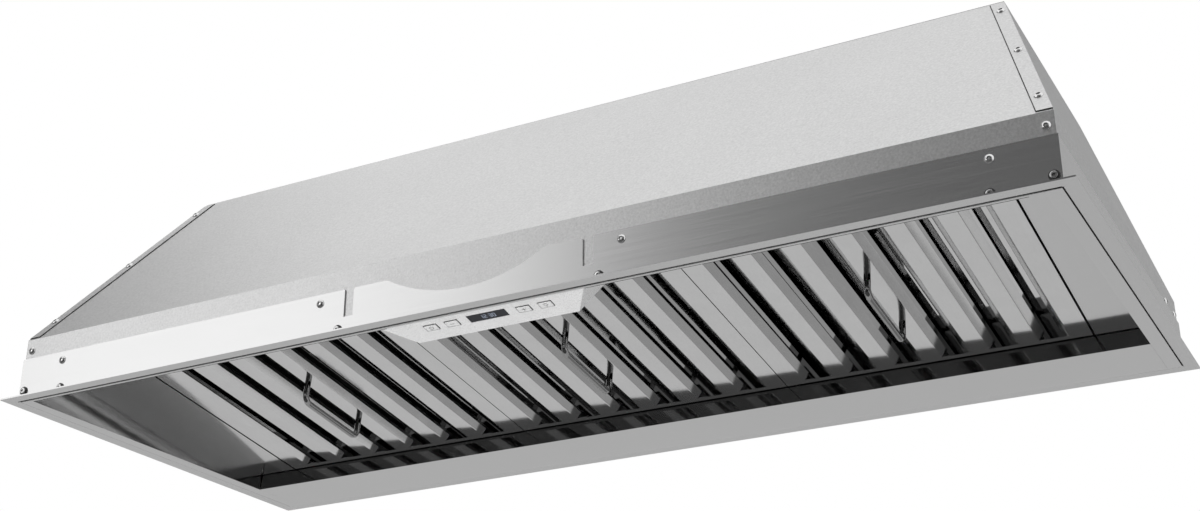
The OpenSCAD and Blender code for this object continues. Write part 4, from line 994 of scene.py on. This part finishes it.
def washer(s):
    """Flat ring with rounded edges: a closed profile turned round the axis."""
    inner, outer, h, e = s.socket_shank_r + 0.0001, s.washer_r, s.washer_h, 0.0002
    bevelled = [(outer - e, 0.0), (outer, e), (outer, h - e), (outer - e, h), (inner + e, h)]
    return turned_ring([(inner, 0.0), *bevelled, (inner, h - e)], 48)


class HOOD_OT_screws(bpy.types.Operator):
    """Makes the dome screws, the socket screws and their washers"""

    bl_idname = "hood.screws"
    bl_label = "Screws"

    def execute(self, context):
        s = context.scene.hood_screw
        metal = context.scene.hood_metal
        # Dome heads and sockets get painted shade in their recesses, strongest in the sockets
        head = recess_shaded("screw_zinc", metal.chrome, 0.22, 1.6)
        socket_steel = recess_shaded("socket_steel", metal.plated, 0.2, 4.0)
        rubber_and_gap_shadow = moulded("washer_rubber", 0.015, 0.5)
        x_axis, y_axis, z_axis = np.eye(3)
        dome, front = dome_screw(s), (x_axis, z_axis, -y_axis)
        trim = [stood(dome, (x, s.band_y, TRIM_SCREW_Z), *front) for x in TRIM_SCREW_X]
        slope = np.array([0.0, s.front_run, s.rise]) / math.hypot(s.front_run, s.rise)
        out = np.cross(x_axis, slope)
        house = []
        for side in (-1, 1):
            corner = (side * (s.house_x - CORNER_SCREW_IN), s.house_y, CORNER_SCREW_Z)
            house.append(stood(dome, corner, *front))
            for up in HIP_SCREW_SHARES:
                place = on_slope(s, side, up, HIP_SCREW_IN) + out * HIP_FLANGE_T
                house.append(stood(dome, place, x_axis, slope, out))
            for y in SIDE_SCREW_Y:
                place = (side * s.house_x, y, SIDE_SCREW_Z)
                house.append(stood(dome, place, side * y_axis, z_axis, side * x_axis))
        places = [(x, s.band_y, SOCKET_SCREW_Z) for x in SOCKET_SCREW_X]
        places += [(x, s.band_y, END_SCREW_Z) for x in END_SCREW_X]
        sockets, rings = ([stood(made, p, *front) for p in places] for made in (socket_screw(s), washer(s)))
        for name, parts, material, slot, node in (
            ("dome_screws_trim", trim, head, "chrome", "trim_screws"),
            ("dome_screws_housing", house, head, "chrome", "housing_screws"),
            ("socket_screws_front", sockets, socket_steel, "chrome", "socket_screws"),
            ("washers_front", rings, rubber_and_gap_shadow, "black_rubber", "screw_washers"),
        ):
            new_piece(name, joined(parts), material, "hood", [node])
        return {"FINISHED"}


def on_face(shape, x, edge, s):
    """Control face to the hood: (a, b, out) becomes (x + a, y0 + (b - edge) cos f - out sin f,
    z0 - (b - edge) sin f - out cos f). This turns shapes inside out, so their faces turn round as well."""
    points, faces = shape
    a, b, out = points.T
    b = b - edge
    c, n = math.cos(s.face_angle), math.sin(s.face_angle)
    return np.stack([x + a, s.face_y + b * c - out * n, s.face_z - b * n - out * c], -1), faces[:, ::-1]


def push_button(s):
    """Button with a flange behind the face, round corners, a bevelled rim and a slight crown."""
    w, d, e = s.button_w - 2 * s.skirt, s.button_d - 2 * s.skirt, BEVEL
    back, top = -s.button_back, s.button_proud
    flange = rounded_rectangle(s.button_w + 2 * s.flange_w, s.button_d + 2 * s.flange_w, 0.0012)
    rings = [(flange, back - s.flange_t), (flange, back)]
    for shrink, z in (
        (0.0, back), (0.0, top - 2 * e), (e, top - e), (2.4 * e, top - 0.4 * e),
        (0.35 * d, top), (0.8 * d, top),
    ):
        corner = min(CORNER_R, (d - shrink) / 2)
        rings.append((rounded_rectangle(w - shrink, d - shrink, corner), z))
    return layered(rings)


def stroke(path):
    """Flat raised line: the path (x, y) moved by half the line's width to both sides, from z 0 up to
    the line's height."""
    ahead = np.gradient(path, axis=0)
    ahead /= np.linalg.norm(ahead, axis=1, keepdims=True)
    side = np.stack([-ahead[:, 1], ahead[:, 0]], -1) * LINE_W / 2
    low, high = path - side, path + side
    corners = ((low, 0.0), (high, 0.0), (high, LINE_H), (low, LINE_H))
    points = np.stack([at_height(*corner) for corner in corners], 1).reshape(-1, 3)
    last = 4 * (len(path) - 1)
    ends = [[0, 1, 2, 3], [last + 3, last + 2, last + 1, last]]
    faces = np.concatenate([grid_faces(len(path), 4, round_columns=True), ends])
    return points, outward(points, faces)


def arc(x, y, r, start, stop):
    a = np.radians(np.linspace(start, stop, 21))
    return np.stack([x + r * np.cos(a), y + r * np.sin(a)], -1)


def line(x0, y0, x1, y1):
    return np.array([(x0, y0), ((x0 + x1) / 2, (y0 + y1) / 2), (x1, y1)])


def signs():
    """Plain signs for power, less, more and light, in millimetres round each button's middle."""
    return {
        "far_left": [arc(0, 0, 2.2, 125, 415), line(0, 0.6, 0, 2.9)],
        "near_left": [line(-2.2, 0, 2.2, 0)],
        "near_right": [line(-2.2, 0, 2.2, 0), line(0, -2.2, 0, 2.2)],
        "far_right": [arc(0, 0.6, 1.8, -50, 230), line(-1.0, -1.5, 1.0, -1.5), line(-0.7, -2.4, 0.7, -2.4)],
    }


def digits(text, height, gap):
    """Seven-segment digits as strokes. Each digit lights the segments a to g of its pattern."""
    h, w = height, height * 0.5
    segments = {
        "a": line(0, h, w, h), "b": line(w, h / 2, w, h), "c": line(w, 0, w, h / 2), "d": line(0, 0, w, 0),
        "e": line(0, 0, 0, h / 2), "f": line(0, h / 2, 0, h), "g": line(0, h / 2, w, h / 2),
    }
    lit = {"0": "abcdef", "1": "bc", "2": "abged", "3": "abgcd", "5": "afgcd", "8": "abcdefg"}
    paths, x = [], 0.0
    for sign in text:
        if sign == ":":
            paths += [line(x, h * 0.28, x, h * 0.36), line(x, h * 0.64, x, h * 0.72)]
            x += gap
            continue
        paths += [segments[name] + (x, 0.0) for name in lit[sign]]
        x += w + gap
    return [path - ((x - gap) / 2, h / 2) for path in paths]


class HOOD_OT_controls(bpy.types.Operator):
    """Makes the buttons with their signs and the display with its digits, and dresses the control box"""

    bl_idname = "hood.controls"
    bl_label = "Controls"

    def execute(self, context):
        s = context.scene.hood_control
        dress(moulded("control_silver", s.silver, 0.3, 0.05, 0.5), "control_box")
        dress(lacquered_board(), "control_board")
        silver = moulded("button_silver", s.silver, 0.28, 0.03, 0.5)
        ink = moulded("sign_ink", s.mark, 0.5)
        # Black skirt in each button's gap: painted shadow of the gap round the button
        rubber_and_gap_shadow = moulded("skirt_rubber", SHADOW_BLACK, 0.6)
        skirt = framed(
            rounded_rectangle(s.button_w, s.button_d, CORNER_R),
            rounded_rectangle(s.button_w - 2 * s.skirt, s.button_d - 2 * s.skirt, CORNER_R),
            -s.button_back, s.button_proud - 0.0004,
        )
        places = (-s.button_outer, -s.button_inner, s.button_inner, s.button_outer)
        for name, place in zip(BUTTONS, places):
            lines = joined([stroke(path * 0.001) for path in signs()[name]])
            sign = moved(mirrored(lines), (0.0, 0.0, s.button_proud - 0.00001))
            for kind, shape, material, slot, nodes in (
                ("push", push_button(s), silver, "button_silver", [f"button_{name}"]),
                ("skirt", skirt, rubber_and_gap_shadow, "black_rubber", []),
                ("sign", sign, ink, "black_plastic", []),
            ):
                shape = on_face(shape, s.shift + place, s.button_edge, s)
                new_piece(f"{kind}_{name}", shape, material, f"button_{name}", nodes)
        w, d, e = s.display_w, s.display_d, BEVEL
        window = layered([
            (rounded_rectangle(w, d, DISPLAY_CORNER_R), -s.display_t),
            (rounded_rectangle(w, d, DISPLAY_CORNER_R), -e),
            (rounded_rectangle(w - 2 * e, d - 2 * e, e), 0.0),
        ])
        shown = mirrored(joined([stroke(path) for path in digits("12:30", 0.0052, 0.0016)]))
        for name, shape, material, nodes in (
            ("display_glass", window, dark_glass(), ["display_window"]),
            ("display_digits", shown, glowing("digit_glow", s.glow, 0.6), []),
        ):
            shape = on_face(shape, s.shift, s.display_edge, s)
            new_piece(name, shape, material, "hood", nodes)
        return {"FINISHED"}


class HOOD_OT_lamps(bpy.types.Operator):
    """Makes the lamps' rings and lenses and dresses their bodies"""

    bl_idname = "hood.lamps"
    bl_label = "Lamps"

    def execute(self, context):
        s = context.scene.hood_lamp
        c, n = math.cos(s.panel_angle), math.sin(s.panel_angle)
        on_panel = ((1.0, 0.0, 0.0), (0.0, -c, -n), (0.0, n, -c))
        r0, r1, h = s.lens_r + 0.0001, s.ring_r, s.ring_h
        bow = np.linspace(0.0, np.pi, 13)
        middle, half = (r0 + r1) / 2, (r1 - r0) / 2
        ring_rows = np.column_stack([middle + half * np.cos(bow), h * 0.35 + h * 0.65 * np.sin(bow)])
        ring_rows = np.vstack([[(r1, 0.0)], ring_rows, [(r0, 0.0)]])
        ring = turned_ring(ring_rows, 96)
        q = np.linspace(s.lens_r, 0.0, 12)
        lens_rows = np.column_stack([q, s.lens_h * (0.55 + 0.45 * np.sqrt(1.0 - (q / s.lens_r) ** 2))])
        lens = turned(np.vstack([[(0.0, 0.0), (s.lens_r, 0.0)], lens_rows]), 96)
        places = [(x, s.lamp_y, s.lamp_z) for x in (-s.outer, -s.inner, s.inner, s.outer)]
        rings, lenses = (joined([stood(made, p, *on_panel) for p in places]) for made in (ring, lens))
        chrome = bright("ring_chrome", context.scene.hood_metal.chrome, 0.1)
        new_piece("bezels", rings, chrome, "hood", ["lamp_rings"])
        new_piece("lenses", lenses, frosted(), "hood", ["lamp_lenses"])
        dress(moulded("lamp_housing", 0.035), "lamp_bodies")
        return {"FINISHED"}


class HOOD_OT_duct(bpy.types.Operator):
    """Makes the duct collar and dresses the damper's rod"""

    bl_idname = "hood.duct"
    bl_label = "Duct collar"

    def execute(self, context):
        s = context.scene.hood_duct
        inner, outer, wide = s.duct_r - s.wall, s.duct_r, s.duct_r + s.flange_w
        corners = [
            (inner, 0.0), (wide, 0.0), (wide, s.wall), (outer, s.wall), (outer, s.duct_h),
            (inner, s.duct_h), (inner, s.stop_up), (inner - s.stop_w, s.stop_up),
            (inner - s.stop_w, s.stop_up - s.wall), (inner, s.stop_up - s.wall),
        ]
        radii = [0.0002, 0.0002, 0.0008, 0.0003, 0.0003, 0.0, 0.0002, 0.0002]
        collar = moved(turned_ring(rounded_path(corners, radii, 4), 180), (0.0, s.duct_y, s.top_z))
        sheet = bpy.data.materials["galvanised_sheet"]
        new_piece("collar", collar, sheet, "hood", ["duct_collar"])
        dress(bright("rod_steel", context.scene.hood_metal.plated, 0.2), "damper_rod", "motor_shaft")
        return {"FINISHED"}


class HOOD_OT_inside(bpy.types.Operator):
    """Dresses the blower's wheel, motor and capacitor and the lamp driver"""

    bl_idname = "hood.inside"
    bl_label = "Blower and wiring"

    def execute(self, context):
        dress(bright("wheel_steel", context.scene.hood_metal.plated, 0.32), "blower_wheel")
        dress(moulded("motor_paint", 0.03, 0.38, 0.3), "motor")
        dress(moulded("capacitor_can", (0.62, 0.62, 0.6), 0.4), "capacitor")
        dress(moulded("driver_case", 0.72, 0.5), "lamp_driver")
        return {"FINISHED"}


OPERATORS = (
    HOOD_OT_stage, HOOD_OT_housing, HOOD_OT_trim, HOOD_OT_filters, HOOD_OT_handles, HOOD_OT_screws,
    HOOD_OT_controls, HOOD_OT_lamps, HOOD_OT_duct, HOOD_OT_inside,
)
SETTINGS = (
    ("hood_stage", HoodStageSettings), ("hood_metal", HoodMetalSettings),
    ("hood_filter", HoodFilterSettings), ("hood_screw", HoodScrewSettings),
    ("hood_control", HoodControlSettings), ("hood_lamp", HoodLampSettings),
    ("hood_duct", HoodDuctSettings),
)


class HOOD_PT_panel(bpy.types.Panel):
    bl_idname = "HOOD_PT_panel"
    bl_label = "Range hood insert"
    bl_space_type = "VIEW_3D"
    bl_region_type = "UI"
    bl_category = "Hood"

    def draw(self, context):
        for operator in OPERATORS:
            self.layout.operator(operator.bl_idname, text=operator.bl_label)
        for name, group in SETTINGS:
            box = self.layout.box()
            for key in group.__annotations__:
                box.prop(getattr(context.scene, name), key)


def register():
    for name, group in SETTINGS:
        bpy.utils.register_class(group)
        setattr(bpy.types.Scene, name, PointerProperty(type=group))
    for made in (*OPERATORS, HOOD_PT_panel):
        bpy.utils.register_class(made)


def unregister():
    for made in (HOOD_PT_panel, *reversed(OPERATORS)):
        bpy.utils.unregister_class(made)
    for name, group in reversed(SETTINGS):
        delattr(bpy.types.Scene, name)
        bpy.utils.unregister_class(group)


def main():
    register()
    for operator in OPERATORS:
        group, name = operator.bl_idname.split(".")
        getattr(getattr(bpy.ops, group), name)()


if __name__ == "__main__":
    main()
